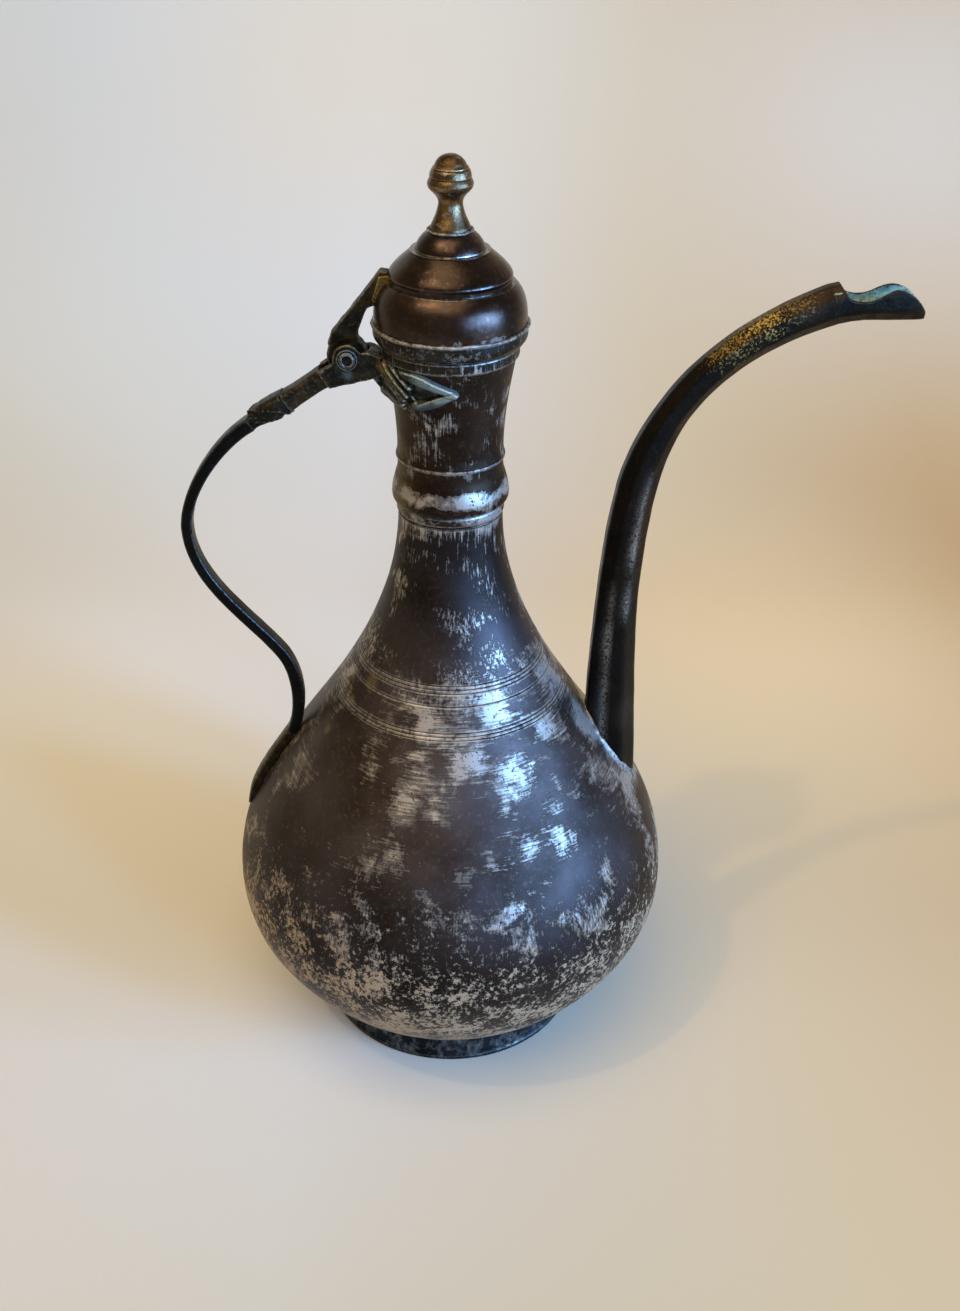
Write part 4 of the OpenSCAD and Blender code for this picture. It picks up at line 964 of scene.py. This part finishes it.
def rootSolder():
    # uneven fillet along the line where pipe and body meet
    rings = []
    steps = 120
    for j in range(steps):
        a = 2 * math.pi * j / steps
        ca, sa = math.cos(a), math.sin(a)
        z = 96.0
        while z < 150:
            near = min(range(1, len(stations) - 1), key=lambda i: abs(stations[i][1] - z))
            s0, s1 = stations[near], stations[near + 1]
            f = (z - s0[1]) / (s1[1] - s0[1])
            x, b = s0[0] + (s1[0] - s0[0]) * f, s0[2] + (s1[2] - s0[2]) * f
            rho = b * 1.02
            if math.hypot(x + rho * ca, rho * sa) >= bodyRadius(z):
                break
            z += 0.25
        wide = 1.5 + 0.9 * noise.noise(Vector((3 * ca, 3 * sa, 5)))
        up = 1.7 + 1.1 * noise.noise(Vector((2.4 * ca, 2.4 * sa, 1)))
        foot = onBody(x + (rho + wide) * ca, (rho + wide) * sa)
        hollow = (x + (rho + 0.35) * ca, (rho + 0.35) * sa, z + 0.45)
        tip = (x + (rho + 0.12) * ca, (rho + 0.12) * sa, z + up)
        inside = (x + (rho - 1.0) * ca, (rho - 1.0) * sa, z - 0.8)
        rings.append([foot] + [bowed(foot, hollow, tip, t) for t in (0.25, 0.5, 0.75)] + [tip, inside])
    return buildMesh("spoutSolder", [p for ring in rings for p in ring], ringFaces(steps, len(rings[0]), closed=True),
                     60)


dress(rootSolder(), "pot", solderGrey, "solder", "spout_solder")
print("spout: pipe, beak and solder done")


# handle

handle = {"armW": 7.4, "armT": 6.4, "barW": 5.6, "barT": 4.4, "tailT": 4.0, "out": 9.3, "drop": 61.4}
hinge = (-33.1, 266.8)
armV = (-0.828, -0.561)
armT, armW = handle["armT"], handle["armW"]
armA = (hinge[0] - 1.23 * armT, hinge[1] - 1.13 * armT)
armD = (armA[0] + 2.35 * armT * armV[0], armA[1] + 2.35 * armT * armV[1])
leafV = (-0.847, -0.531)
leafD = (armD[0] + 2.32 * armT * leafV[0], armD[1] + 2.32 * armT * leafV[1])
bendP = (-body["belly"][0] - handle["out"], hinge[1] - handle["drop"])
tailSteps = 24


def tailHalf(t):
    # half the tail's thickness, thin at its tip
    return handle["tailT"] / 2 * read(t, [(0, 1), (0.55, 0.9), (0.8, 0.74), (1, 0.3)])


tailOn = []
for i in range(tailSteps + 1):
    t = 1 - 0.63 * i / tailSteps
    p, q = cubic(*upperCurve, t), cubic(*upperCurve, t - 0.02)
    d = math.dist(p, q)
    v = ((p[0] - q[0]) / d, (p[1] - q[1]) / d)
    k = tailHalf(i / tailSteps) - 0.25
    tailOn.append((-(p[0] + k * v[1]), p[1] - k * v[0]))
land = tailOn[0]
lowP = (0.681 * bendP[0], land[1] + 0.421 * (bendP[1] - land[1]))
dropA, dropB, dropC = leafD[1] - bendP[1], bendP[1] - lowP[1], lowP[1] - land[1]
gripPath = ([leafD]
            + run(leafD, (leafD[0] - 0.375 * dropA * 0.857, leafD[1] - 0.375 * dropA * 0.515),
                  (bendP[0], bendP[1] + 0.317 * dropA), bendP, 36)
            + run(bendP, (bendP[0], bendP[1] - 0.42 * dropB), (lowP[0] - 0.239 * dropB, lowP[1] + 0.314 * dropB), lowP,
                  36)
            + run(lowP, (lowP[0] + 0.233 * dropC, lowP[1] - 0.311 * dropC),
                  (land[0] - 0.194 * dropC * lean[0], land[1] + 0.194 * dropC * lean[1]), land, 30))
gripCount = len(gripPath) - 1


def barRing(point, tangent, halfW, halfT, shift=0.0, n=3, ease=0.4, relief=None):
    # four-sided bar with eased arrises, crowned on its faces
    c = [(halfW, -halfT), (halfW, halfT), (-halfW, halfT), (-halfW, -halfT)]
    out = []
    cut = ease * halfT
    for i in range(4):
        before, at, after = c[i - 1], c[i], c[(i + 1) % 4]
        start, end = along(at, before, cut), along(at, after, cut)
        out += [bowed(start, at, end, j / n) for j in range(n + 1)]
        out += [between(end, along(after, at, cut), t) for t in (0.2, 0.4, 0.6, 0.8)]
    ring = []
    for across, up in out:
        crown = 1 + 0.05 * (1 - min(1, (abs(across) / halfW) ** 2)) + 0.04 * (1 - min(1, (abs(up) / halfT) ** 2))
        a, u = across * crown, up * crown
        if relief:
            grow = relief(math.degrees(math.atan2(abs(a) / halfW, u / halfT)), a)
            size = math.hypot(a, u)
            a, u = a * (1 + grow / size), u * (1 + grow / size)
        u += shift
        ring.append((point[0] - tangent[1] * u, a, point[1] + tangent[0] * u))
    return ring


def roughen(ring, centre, depth, size):
    # uneven skin on a ring: depth and size in mm
    out = []
    for p in ring:
        v = Vector(p)
        away = Vector((v.x - centre[0], v.y, v.z - centre[1])).normalized()
        out.append(tuple(v + away * depth * (noise.noise(v / size) + 0.5 * noise.noise(v / (0.4 * size)))))
    return out


armRings = []
for i in range(41):
    t = i / 40
    p = between(armA, armD, t)
    ring = barRing(p, armV, armW / 2 + 0.2 * t, armT / 2 - 0.25 * math.sin(math.pi * t), ease=0.45)
    armRings.append(roughen(ring, p, 0.10, 2.6))
arm = swept("handleArm", armRings, 50)
dress(arm, "pot", armBronze, "arm_bronze", "handle_arm")

# along the leaf: share of its length, then what it adds to half the width and half the thickness, and its shift up
leafShape = [(0, 0.6, -0.1, 0), (0.08, 0.9, 0.35, 0), (0.3, 1, 0.6, -0.1), (0.55, 0.7, 0.4, -0.35),
             (0.8, 0.1, -0.25, -0.55), (0.93, -0.5, -0.85, -0.35), (1, -0.8, -1.12, 0)]


def leafRelief(t):
    # the arm ends in a cup whose lip runs from the top down and back to a point underneath;
    # the bar's bud sits in it, with one curled line on each side
    lip = read(t, [(0, 4), (0.06, 22), (0.2, 70), (0.45, 100), (0.75, 138), (0.95, 176), (1, 181)])
    curl = read(t, [(0, 5), (0.22, 12), (0.34, 34), (0.55, 52), (0.8, 78), (1, 95)])

    def grow(angle, across):
        cup = 0.62 * smooth((angle - lip) / 6.0)
        edge = 0.4 * math.exp(-((angle - lip - 7) / 6.0) ** 2)
        line = 0.5 * math.exp(-((angle - curl) / 7.0) ** 2) * smooth((t - 0.2) / 0.08) * smooth((0.92 - t) / 0.2)
        return (cup + edge) * smooth((1.02 - t) / 0.12) + line - 0.45 * smooth(t / 0.04) * smooth((1 - t) / 0.2)
    return grow


leafRings = []
gripTangents = tangents([between(armD, leafD, 0.9)] + gripPath)[1:]
for i in range(91):
    t = i / 90
    p = between(armD, leafD, t)
    v = between(leafV, gripTangents[0], smooth((t - 0.85) / 0.15))
    v = between(v, armV, smooth(1 - t / 0.1))
    wide, thick, shift = (read(t, [(s[0], s[k]) for s in leafShape]) for k in (1, 2, 3))
    ring = barRing(p, v, armW / 2 + wide * 0.75, armT / 2 + thick * 0.8, shift, n=6, ease=0.75, relief=leafRelief(t))
    leafRings.append(roughen(ring, p, 0.05, 1.8))
leaf = swept("handleLeaf", leafRings, 60)
dress(leaf, "pot", castBronze, "cast_bronze", "handle_leaf")


def barHalf(t):
    # half the bar's thickness along it
    b = handle["barT"] / 2
    return read(t, [(0, b + 0.1), (0.2, b - 0.3), (0.4, b - 0.4), (0.65, b - 0.3), (0.85, tailHalf(0) + 0.2),
                    (1, tailHalf(0))])


gripRings = []
for i, (p, v) in enumerate(zip(gripPath, gripTangents)):
    t = i / gripCount
    gripRings.append(roughen(barRing(p, v, handle["barW"] / 2 + 0.3 - 0.4 * t, barHalf(t), ease=0.28), p, 0.09, 7))
grip = swept("handleGrip", gripRings, 50)
dress(grip, "pot", gripBronze, "handle_bronze", "handle_grip")

tailTangents = tangents([gripPath[-2]] + tailOn)[1:]
tailRings = []
for i, (p, v) in enumerate(zip(tailOn, tailTangents)):
    t = i / tailSteps
    wide = handle["barW"] / 2 + read(t, [(0, -0.1), (0.7, 0.3), (0.9, -0.3), (1, 0.8 - handle["barW"] / 2)])
    tailRings.append(roughen(barRing(p, v, wide, tailHalf(t), ease=0.42), p, 0.06, 5))
tail = swept("handleTail", tailRings, 50)
dress(tail, "pot", tailBronze, "handle_bronze", "handle_tail")
print("handle: arm, leaf, grip and tail done")


# saddle plate on the neck

saddle = {
    # degrees round from the handle's side, and height
    "outline": [(0, 267.5), (58, 267.5), (68, 266.5), (80, 264.4), (94, 262.2), (97.5, 260.9), (95, 259.5),
                (78, 256.0), (62, 254.0), (50, 253.3), (33, 252.9), (14, 252.2), (0, 251.8)],
    "plate": 1.0, "step": 0.26, "wrapR": 20.2, "reach": 35.5, "low": 251.2, "tall": 16.6,
    # from, to, half width, height over the neck
    "bars": [((50, 266.4), (94, 261.6), 2.1, 2.1), ((95, 260.6), (46, 254.5), 1.5, 1.9),
             ((46, 254.9), (14, 257.0), 1.3, 1.5), ((8, 266.0), (45, 256.4), 1.5, 2.3),
             ((22, 267.0), (50, 258.6), 0.9, 2.2), ((36, 267.2), (54, 261.4), 0.9, 2.1)],
    "field": [(55, 263.4), (88, 261.1), (60, 256.4), (52, 259.4)], "fieldHeight": 0.2,
    "root": (6.0, 2.6),     # how wide and how high the plate swells into the block
}
arcPerDegree = saddle["wrapR"] * math.pi / 180


def flat(p):
    # degrees to mm round the neck
    return (p[0] * arcPerDegree, p[1])


def segmentAway(p, a, b):
    # how far a point lies from the line between two others
    ax, az, bx, bz = *a, *b
    dx, dz = bx - ax, bz - az
    t = max(0, min(1, ((p[0] - ax) * dx + (p[1] - az) * dz) / (dx * dx + dz * dz)))
    return math.hypot(p[0] - ax - t * dx, p[1] - az - t * dz)


def insideOf(p, poly):
    odd = False
    for (ax, az), (bx, bz) in zip(poly, poly[1:] + poly[:1]):
        if (az > p[1]) != (bz > p[1]) and p[0] < (bx - ax) * (p[1] - az) / (bz - az) + ax:
            odd = not odd
    return odd


saddleLine = [flat(p) for p in saddle["outline"]]
fieldLine = [flat(p) for p in saddle["field"]]
edgePairs = [(a, b) for a, b in zip(saddleLine, saddleLine[1:])]


def saddleHeight(s, z):
    # how high the casting stands over the neck, below zero outside its outline
    p = (abs(s), z)
    edge = min(segmentAway(p, a, b) for a, b in edgePairs)
    inside = insideOf(p, saddleLine)
    if not inside:
        return -1.0 if edge > 0.35 else -0.25
    h = saddle["plate"] * smooth((edge + 0.15) / 0.8)
    away = min(segmentAway(p, a, b) for a, b in zip(fieldLine, fieldLine[1:] + fieldLine[:1]))
    if insideOf(p, fieldLine):
        h = min(h, saddle["plate"] + (saddle["fieldHeight"] - saddle["plate"]) * smooth(away / 0.7))
    for a, b, wide, high in saddle["bars"]:
        d = segmentAway(p, flat(a), flat(b))
        if d < wide:
            h = max(h, h + (high - saddle["plate"]) * math.cos(0.5 * math.pi * d / wide) ** 0.6)
    rootWide, rootHigh = saddle["root"]
    h += rootHigh * math.exp(-(s / rootWide) ** 2) * smooth((edge - 0.2) / 2.5)
    return h + 0.07 * noise.noise(Vector((s, z, 3)) / 1.6)


def saddlePlate():
    step = saddle["step"]
    nS, nZ = int(2 * saddle["reach"] / step), int(saddle["tall"] / step)
    verts, index, faces = [], {}, []
    for i in range(nS + 1):
        s = -saddle["reach"] + i * step
        for k in range(nZ + 1):
            z = saddle["low"] + k * step
            h = saddleHeight(s, z)
            if h < -0.5:
                continue
            a = math.pi - s / saddle["wrapR"]
            skinR = neckRadius(z)
            r = skinR + neckWork((skinR * math.cos(a), skinR * math.sin(a), z)) + h
            index[i, k] = len(verts)
            verts.append((r * math.cos(a), r * math.sin(a), z))
    for i in range(nS):
        for k in range(nZ):
            corners = [(i, k), (i + 1, k), (i + 1, k + 1), (i, k + 1)]
            if all(c in index for c in corners):
                faces.append([index[c] for c in corners])
    # the plate's underside, just inside the neck's sheet
    top = len(verts)
    under = []
    for x, y, z in verts:
        r = math.hypot(x, y)
        k = (neckRadius(z) - 0.5) / r
        under.append((x * k, y * k, z))
    verts += under
    edges = {(a, b): True for f in faces for a, b in zip(f, f[1:] + f[:1])}
    skirt = [[b, a, a + top, b + top] for a, b in edges if (b, a) not in edges]
    faces += [[v + top for v in f[::-1]] for f in faces] + skirt
    return buildMesh("saddlePlate", verts, faces, 70)


dress(saddlePlate(), "pot", saddleBronze, "cast_bronze", "handle_saddle")

block = castCopy("hingeBlock", "hinge_block", 0.3, 9, 0.26, 3.2)
dress(block, "pot", castBronze, "cast_bronze", "hinge_block")
lug = {"pin": 2.10, "half": 5.60, "washer": 1.3}     # pin's radius, half the width over the lugs, washer's breadth


def acrossHinge(piece):
    # from upright about the origin to level at the hinge
    place = Matrix.Translation((hinge[0] * mm, 0, hinge[1] * mm))
    piece.data.transform(place @ Matrix.Rotation(math.radians(90), 4, "X"))
    return piece


def headWork(p):
    return 0.12 * noise.noise(Vector(p) / 1.5)


pinR, reachY = lug["pin"], lug["half"] + 0.5
head = [(0, reachY + 0.2), (0.9, reachY + 0.25), (1.4, reachY + 0.45), (1.8, reachY + 0.78),
        (pinR + 0.1, reachY + 0.78), (pinR + 0.6, reachY + 0.4), (pinR + 0.6, reachY), (pinR, reachY)]
pin = turned("hingePin", refine(rounded(head + [(r, -z) for r, z in head[::-1]], 0.3), 0.3), sides=96, offset=headWork)
dress(acrossHinge(pin), "pot", hingeIron, "hinge_iron", "hinge_pin")
for side in (-1, 1):
    z = side * (lug["half"] + 0.25)
    ring = [(pinR + 0.05, z - 0.25), (pinR + lug["washer"], z - 0.25), (pinR + lug["washer"], z + 0.25),
            (pinR + 0.05, z + 0.25)]
    washer = turned("hingeWasher" + ("Back" if side < 0 else "Front"), refine(rounded(ring, 0.18), 0.3), sides=96,
                    offset=headWork)
    dress(acrossHinge(washer), "pot", hingeIron, "hinge_iron", "hinge_washer")
print("hinge: plate, block, pin and washers done")


# lid

lid = {"rim": 271.8, "drum": 277.5, "dome": 290.9, "cap": 301.1, "top": 306.5, "r": 24.9, "domeR": 19.7, "capR": 11.2,
       "wall": 1.2}


def lidWork(p):
    return 0.10 * (noise.noise(Vector(p) / 20 + Vector((9, 2, 5))) + 0.5 * noise.noise(Vector(p) / 8))


lidR, lidWall = lid["r"], lid["wall"]
rimZ = lid["rim"]
rim = turned("lidRim", refine(rounded([(lidR - 2.8, rimZ), (lidR - 1.5, rimZ), (lidR - 0.3, rimZ + 1.7),
                                       (lidR, rimZ + 2.6), (lidR, lid["drum"]), (lidR - 1.5, lid["drum"]),
                                       (lidR - 1.5, rimZ + 2.4), (lidR - 2.8, rimZ + 1.2)], 0.35), 0.8), offset=lidWork)
dress(rim, "lid", trimCopper, "trim_copper", "lid_rim")


def wipedRing(name, radius, height, thick, spread, seed, sides=320):
    # run of solder, thicker and thinner along its length
    rings = []
    perRing = 12
    for j in range(sides):
        a = 2 * math.pi * j / sides
        q = Vector((math.cos(a) * 5, math.sin(a) * 5, seed))
        r = thick * (1 + 0.34 * noise.noise(q) + 0.24 * noise.noise(q * 3.1))
        lift = spread * noise.noise(q * 0.8 + Vector((0, 0, 7)))
        base = radius + lidWork((radius * math.cos(a), radius * math.sin(a), height))
        turns = [2 * math.pi * i / perRing for i in range(perRing)]
        rings.append([((base + r * math.cos(b)) * math.cos(a), (base + r * math.cos(b)) * math.sin(a),
                       height + lift + 0.85 * r * math.sin(b)) for b in turns])
    return buildMesh(name, [p for ring in rings for p in ring], ringFaces(sides, perRing, closed=True), 80)


dress(wipedRing("lidSolder", lidR - 0.05, lid["drum"] + 0.1, 0.66, 0.3, 2), "lid", solderGrey, "solder", "lid_solder")

drumH = lid["dome"] - lid["drum"]
drumFoot, drumTop = (lidR - 0.3, lid["drum"]), (lid["domeR"] + 0.7, lid["dome"])
drumOut = [drumFoot] + run(drumFoot, (drumFoot[0] + 0.1, drumFoot[1] + 0.4 * drumH),
                           (lidR - 0.6, lid["drum"] + 0.74 * drumH), drumTop, 60)
drumIn = [p for p in inward(drumOut, lidWall) if lid["drum"] + 0.4 < p[1] < lid["dome"] - 0.8]
drum = turned("lidDrum", drumOut + [(lid["domeR"] - 0.4 - lidWall, lid["dome"])] + drumIn[::-1]
              + [(lidR - 0.3 - lidWall, lid["drum"])], offset=lidWork)
dress(drum, "lid", lidCopper, "lid_copper", "lid_drum")

domeFoot, domeTop = (lid["domeR"], lid["dome"] + 2.3), (lid["capR"] + 1.5, lid["cap"] - 0.4)
domeOut = rounded([(lid["domeR"] - 0.4, lid["dome"]), (lid["domeR"] - 0.5, lid["dome"] + 1.3), domeFoot], 0.3,
                  closed=False)
domeOut += run(domeFoot, (domeFoot[0], domeFoot[1] + 1.6), (domeTop[0] + 3.4, domeTop[1] - 2.6), domeTop, 40)
domeOut.append((lid["capR"] + 1.5, lid["cap"]))
domeIn = [p for p in inward(domeOut, lidWall) if lid["dome"] + 1.6 < p[1] < lid["cap"] - 1]
dome = turned("lidDome", rounded(domeOut, 0.35, closed=False) + [(lid["capR"] - lidWall, lid["cap"])] + domeIn[::-1]
              + [(lid["domeR"] - 0.4 - lidWall, lid["dome"])], offset=lidWork)
dress(dome, "lid", lidCopper, "lid_copper", "lid_dome")

capFoot, capTop = (lid["capR"], lid["cap"]), (7, lid["top"])
capOut = [capFoot] + run(capFoot, (capFoot[0] - 0.4, capFoot[1] + 1.8), (capTop[0] + 2.2, capTop[1] - 1), capTop, 30)
cap = turned("lidCap", capOut + [(3.2, lid["top"]), (3.2, lid["top"] - lidWall), (6.4, lid["top"] - lidWall),
                                 (lid["capR"] - lidWall - 0.6, lid["cap"] + 1.2), (lid["capR"] - lidWall, lid["cap"])],
             offset=lidWork)
dress(cap, "lid", lidCopper, "lid_copper", "lid_cap")

flangeR = boreR - 1.5
flange = turned("lidFlange", refine(rounded([(flangeR - 1, mouthZ - 3.2), (flangeR, mouthZ - 3.2),
                                             (flangeR, rimZ + 1.4), (lidR - 2.8, rimZ + 1.4), (lidR - 2.8, rimZ + 2.4),
                                             (flangeR - 1, rimZ + 2.4)], 0.25), 1.0))
dress(flange, "lid", trimCopper, "trim_copper", "lid_flange")

finialZ, finialH, knobR = lid["top"], 23.2, 7.2
stem = 0.53 * knobR
knob = ([(0, finialZ - lidWall - 1.4), (3.1, finialZ - lidWall - 1.4), (3.1, finialZ), (6.4, finialZ)]
        + run((6.4, finialZ + 0.05 * finialH), (5.9, finialZ + 0.11 * finialH), (stem + 0.5, finialZ + 0.22 * finialH),
              (stem, finialZ + 0.36 * finialH), 18)
        + run((stem, finialZ + 0.36 * finialH), (stem - 0.05, finialZ + 0.43 * finialH),
              (0.64 * knobR, finialZ + 0.475 * finialH), (0.86 * knobR, finialZ + 0.535 * finialH), 14)
        + rounded([(0.86 * knobR, finialZ + 0.535 * finialH), (0.965 * knobR, finialZ + 0.575 * finialH),
                   (knobR, finialZ + 0.62 * finialH), (0.985 * knobR, finialZ + 0.645 * finialH),
                   (0.925 * knobR, finialZ + 0.685 * finialH),
                   (0.895 * knobR, finialZ + 0.700 * finialH), (0.905 * knobR, finialZ + 0.715 * finialH),
                   (0.885 * knobR, finialZ + 0.755 * finialH), (0.84 * knobR, finialZ + 0.795 * finialH),
                   (0.785 * knobR, finialZ + 0.815 * finialH), (0.785 * knobR, finialZ + 0.83 * finialH),
                   (0.70 * knobR, finialZ + 0.85 * finialH)], 0.4, closed=False)[1:]
        + run((0.70 * knobR, finialZ + 0.85 * finialH), (0.61 * knobR, finialZ + 0.93 * finialH),
              (0.36 * knobR, finialZ + finialH), (0, finialZ + finialH), 14))


def knobWork(p):
    return 0.09 * (noise.noise(Vector(p) / 6) + 0.6 * noise.noise(Vector(p) / 2.4)) * smooth((p[2] - finialZ - 1) / 4)


finial = turned("finialKnob", knob, sides=128, offset=knobWork, sharp=50)
dress(finial, "lid", finialBrass, "finial_brass", "finial")
dress(wipedRing("finialSolder", 6.9, finialZ + 0.42, 0.5, 0.08, 4, 160), "lid", solderGrey, "solder", "finial_solder")
rivet = castCopy("finialWasher", "finial_washer", 0.16, 2, 0.02, 1.0)
dress(rivet, "lid", finialBrass, "finial_brass", "finial_washer")

strap = castCopy("lidStrap", "lid_strap", 0.26, 7, 0.2, 2.8)
dress(strap, "lid", strapBronze, "cast_bronze", "lid_strap")
strapRun = castCopy("strapSolder", "strap_solder", 0.16, 2, 0.08, 1.4)
dress(strapRun, "lid", ochreSolder, "ochre_solder", "strap_solder")
print("lid: tiers, finial and strap done")


# floor, light and camera

setting = {
    # painted light and shade on the paper: tint by place across, warmer and darker to the right where the window light
    # falls short, then tint, centre in mm, reach and share of each softer patch of painted light and shade
    "across": [(-300, "#cecec7"), (-60, "#d6d6d3"), (140, "#cebd9e"), (320, "#c1a276")],
    "paintedLightPatches": [("#e7ebf0", (-180, 230, 0), 300, 0.7), ("#ecd7ad", (170, 250, 0), 230, 0.7),
              ("#b6aa7c", (0, -330, 0), 340, 0.7),
              ("#d4d7d2", (-260, 520, 40), 260, 0.7), ("#d7cdbd", (330, 680, 180), 300, 0.7),
              ("#dcceb2", (-60, 720, 240), 240, 0.7)],
    # the sheet of paper, in mm: floor, curve and leaning wall
    "floorFront": -900.0, "halfWide": 1500.0, "wallStart": 330.0, "wallRound": 420.0, "wallTop": 900.0, "wallLean": 72,
    # soft warm light from above, cool window in three panes to the right, small warm lamp high to the left:
    # place and aim in metres, width, height, watts, tint
    "lamps": {
        "ceilingPanel": ((-0.35, -0.75, 1.85), (0, 0.1, 0), 1.6, 1.6, 24.5, "#ffe1ad"),
        "windowEdge": ((0.88, -1.22, 0.52), (0, 0, 0.12), 0.2, 0.56, 10.29, "#86bfff"),
        "windowNear": ((1.26, -0.88, 0.52), (0, 0, 0.12), 0.24, 0.62, 24.5, "#86bfff"),
        "windowFar": ((1.45, -0.55, 0.46), (0, 0, 0.12), 0.24, 0.62, 18.375, "#86bfff"),
        "deskLamp": ((-0.87, -0.71, 2.00), (0, 0, 0.1), 0.07, 0.07, 5.6, "#ffd79c"),
    },
    "roomStrength": 0.29, "roomTint": "#ffe3b4",
}


def backdrop():
    # one sheet of paper: floor that curves up behind
    steps = 16
    line = [(setting["floorFront"], 0.0), (setting["wallStart"], 0.0)]
    r = setting["wallRound"]
    turns = [math.radians(setting["wallLean"] / steps * i) for i in range(1, steps + 1)]
    line += [(setting["wallStart"] + r * math.sin(a), r - r * math.cos(a)) for a in turns]
    y, z = line[-1]
    a = math.radians(setting["wallLean"])
    line.append((y + setting["wallTop"] * math.cos(a), z + setting["wallTop"] * math.sin(a)))
    verts = [(x, y, z) for y, z in line for x in (-setting["halfWide"], setting["halfWide"])]
    faces = [[2 * i, 2 * i + 1, 2 * i + 3, 2 * i + 2] for i in range(len(line) - 1)]
    sheetPaper = buildMesh("paperBackdrop", verts, faces, 180)
    # Matt background paper: no gloss, and slow changes of tint that paint in where the room lights it more and less:
    # painted light and shade. Its tooth, typically about 0.2 mm, is too fine to show and is drawn 1.2 mm.
    material, tree, shader, point = startMaterial("matt paper backdrop, painted light and shade")
    split = addNode(tree, "SeparateXYZ", None, {"Vector": point})
    side = 400.0
    place = addNode(tree, "MapRange", {"From Min": -side, "From Max": side}, {"Value": split.outputs["X"]})
    stops = [((x + side) / (2 * side), tint) for x, tint in setting["across"]]
    colour = addNode(tree, "ValToRGB", {"stops": stops}, {"Fac": place}).outputs["Color"]
    # soft patches of painted light and shade
    for tint, centre, reach, most in setting["paintedLightPatches"]:
        away = addNode(tree, "VectorMath", {"operation": "DISTANCE", 1: centre}, {0: point})
        near = addNode(tree, "MapRange", {**soft, "From Min": reach, "From Max": 0.0, "To Max": most},
                       {"Value": away.outputs["Value"]})
        colour = addNode(tree, "Mix", {"data_type": "RGBA", 7: tint}, {0: near, 6: colour}).outputs[2]
    tree.links.new(colour, shader.inputs["Base Color"])
    shader.inputs["Roughness"].default_value = 0.9
    shader.inputs["Specular IOR Level"].default_value = 0.1
    tooth = addNode(tree, "TexNoise", {"Scale": 1 / 1.2, "Detail": 3.0, "Roughness": 0.6}, {"Vector": point})
    relief = addNode(tree, "Bump", {"Distance": 0.05 * mm}, {"Height": tooth})
    tree.links.new(relief.outputs["Normal"], shader.inputs["Normal"])
    sheetPaper.data.materials.append(material)


backdrop()

for name, (place, aim, wide, tall, power, tint) in setting["lamps"].items():
    light = bpy.data.lights.new(name, "AREA")
    light.shape = "RECTANGLE"
    light.size, light.size_y = wide, tall
    light.energy = power
    light.color = linear(tint)[:3]
    lamp = bpy.data.objects.new(name, light)
    lamp.location = place
    lamp.rotation_euler = (Vector(aim) - Vector(place)).to_track_quat("-Z", "Y").to_euler()
    bpy.context.scene.collection.objects.link(lamp)

world = bpy.data.worlds.new("dim room")
bpy.context.scene.world = world
world.use_nodes = True
background = world.node_tree.nodes["Background"]
background.inputs["Color"].default_value = linear(setting["roomTint"])
background.inputs["Strength"].default_value = setting["roomStrength"]

cameraSettings = {"place": (0.0, -0.4633, 0.4350), "pitch": 31.32, "lens": 41.19, "shift": 0.0225}
cameraData = bpy.data.cameras.new("mainCamera")
cameraData.lens = cameraSettings["lens"]
cameraData.sensor_width = 36
cameraData.shift_x = cameraSettings["shift"]
camera = bpy.data.objects.new("mainCamera", cameraData)
camera.location = cameraSettings["place"]
camera.rotation_euler = (math.radians(90 - cameraSettings["pitch"]), 0, 0)
bpy.context.scene.collection.objects.link(camera)
bpy.context.scene.camera = camera
bpy.context.scene.view_settings.view_transform = "Standard"
print("setting: backdrop, lamps and camera done")
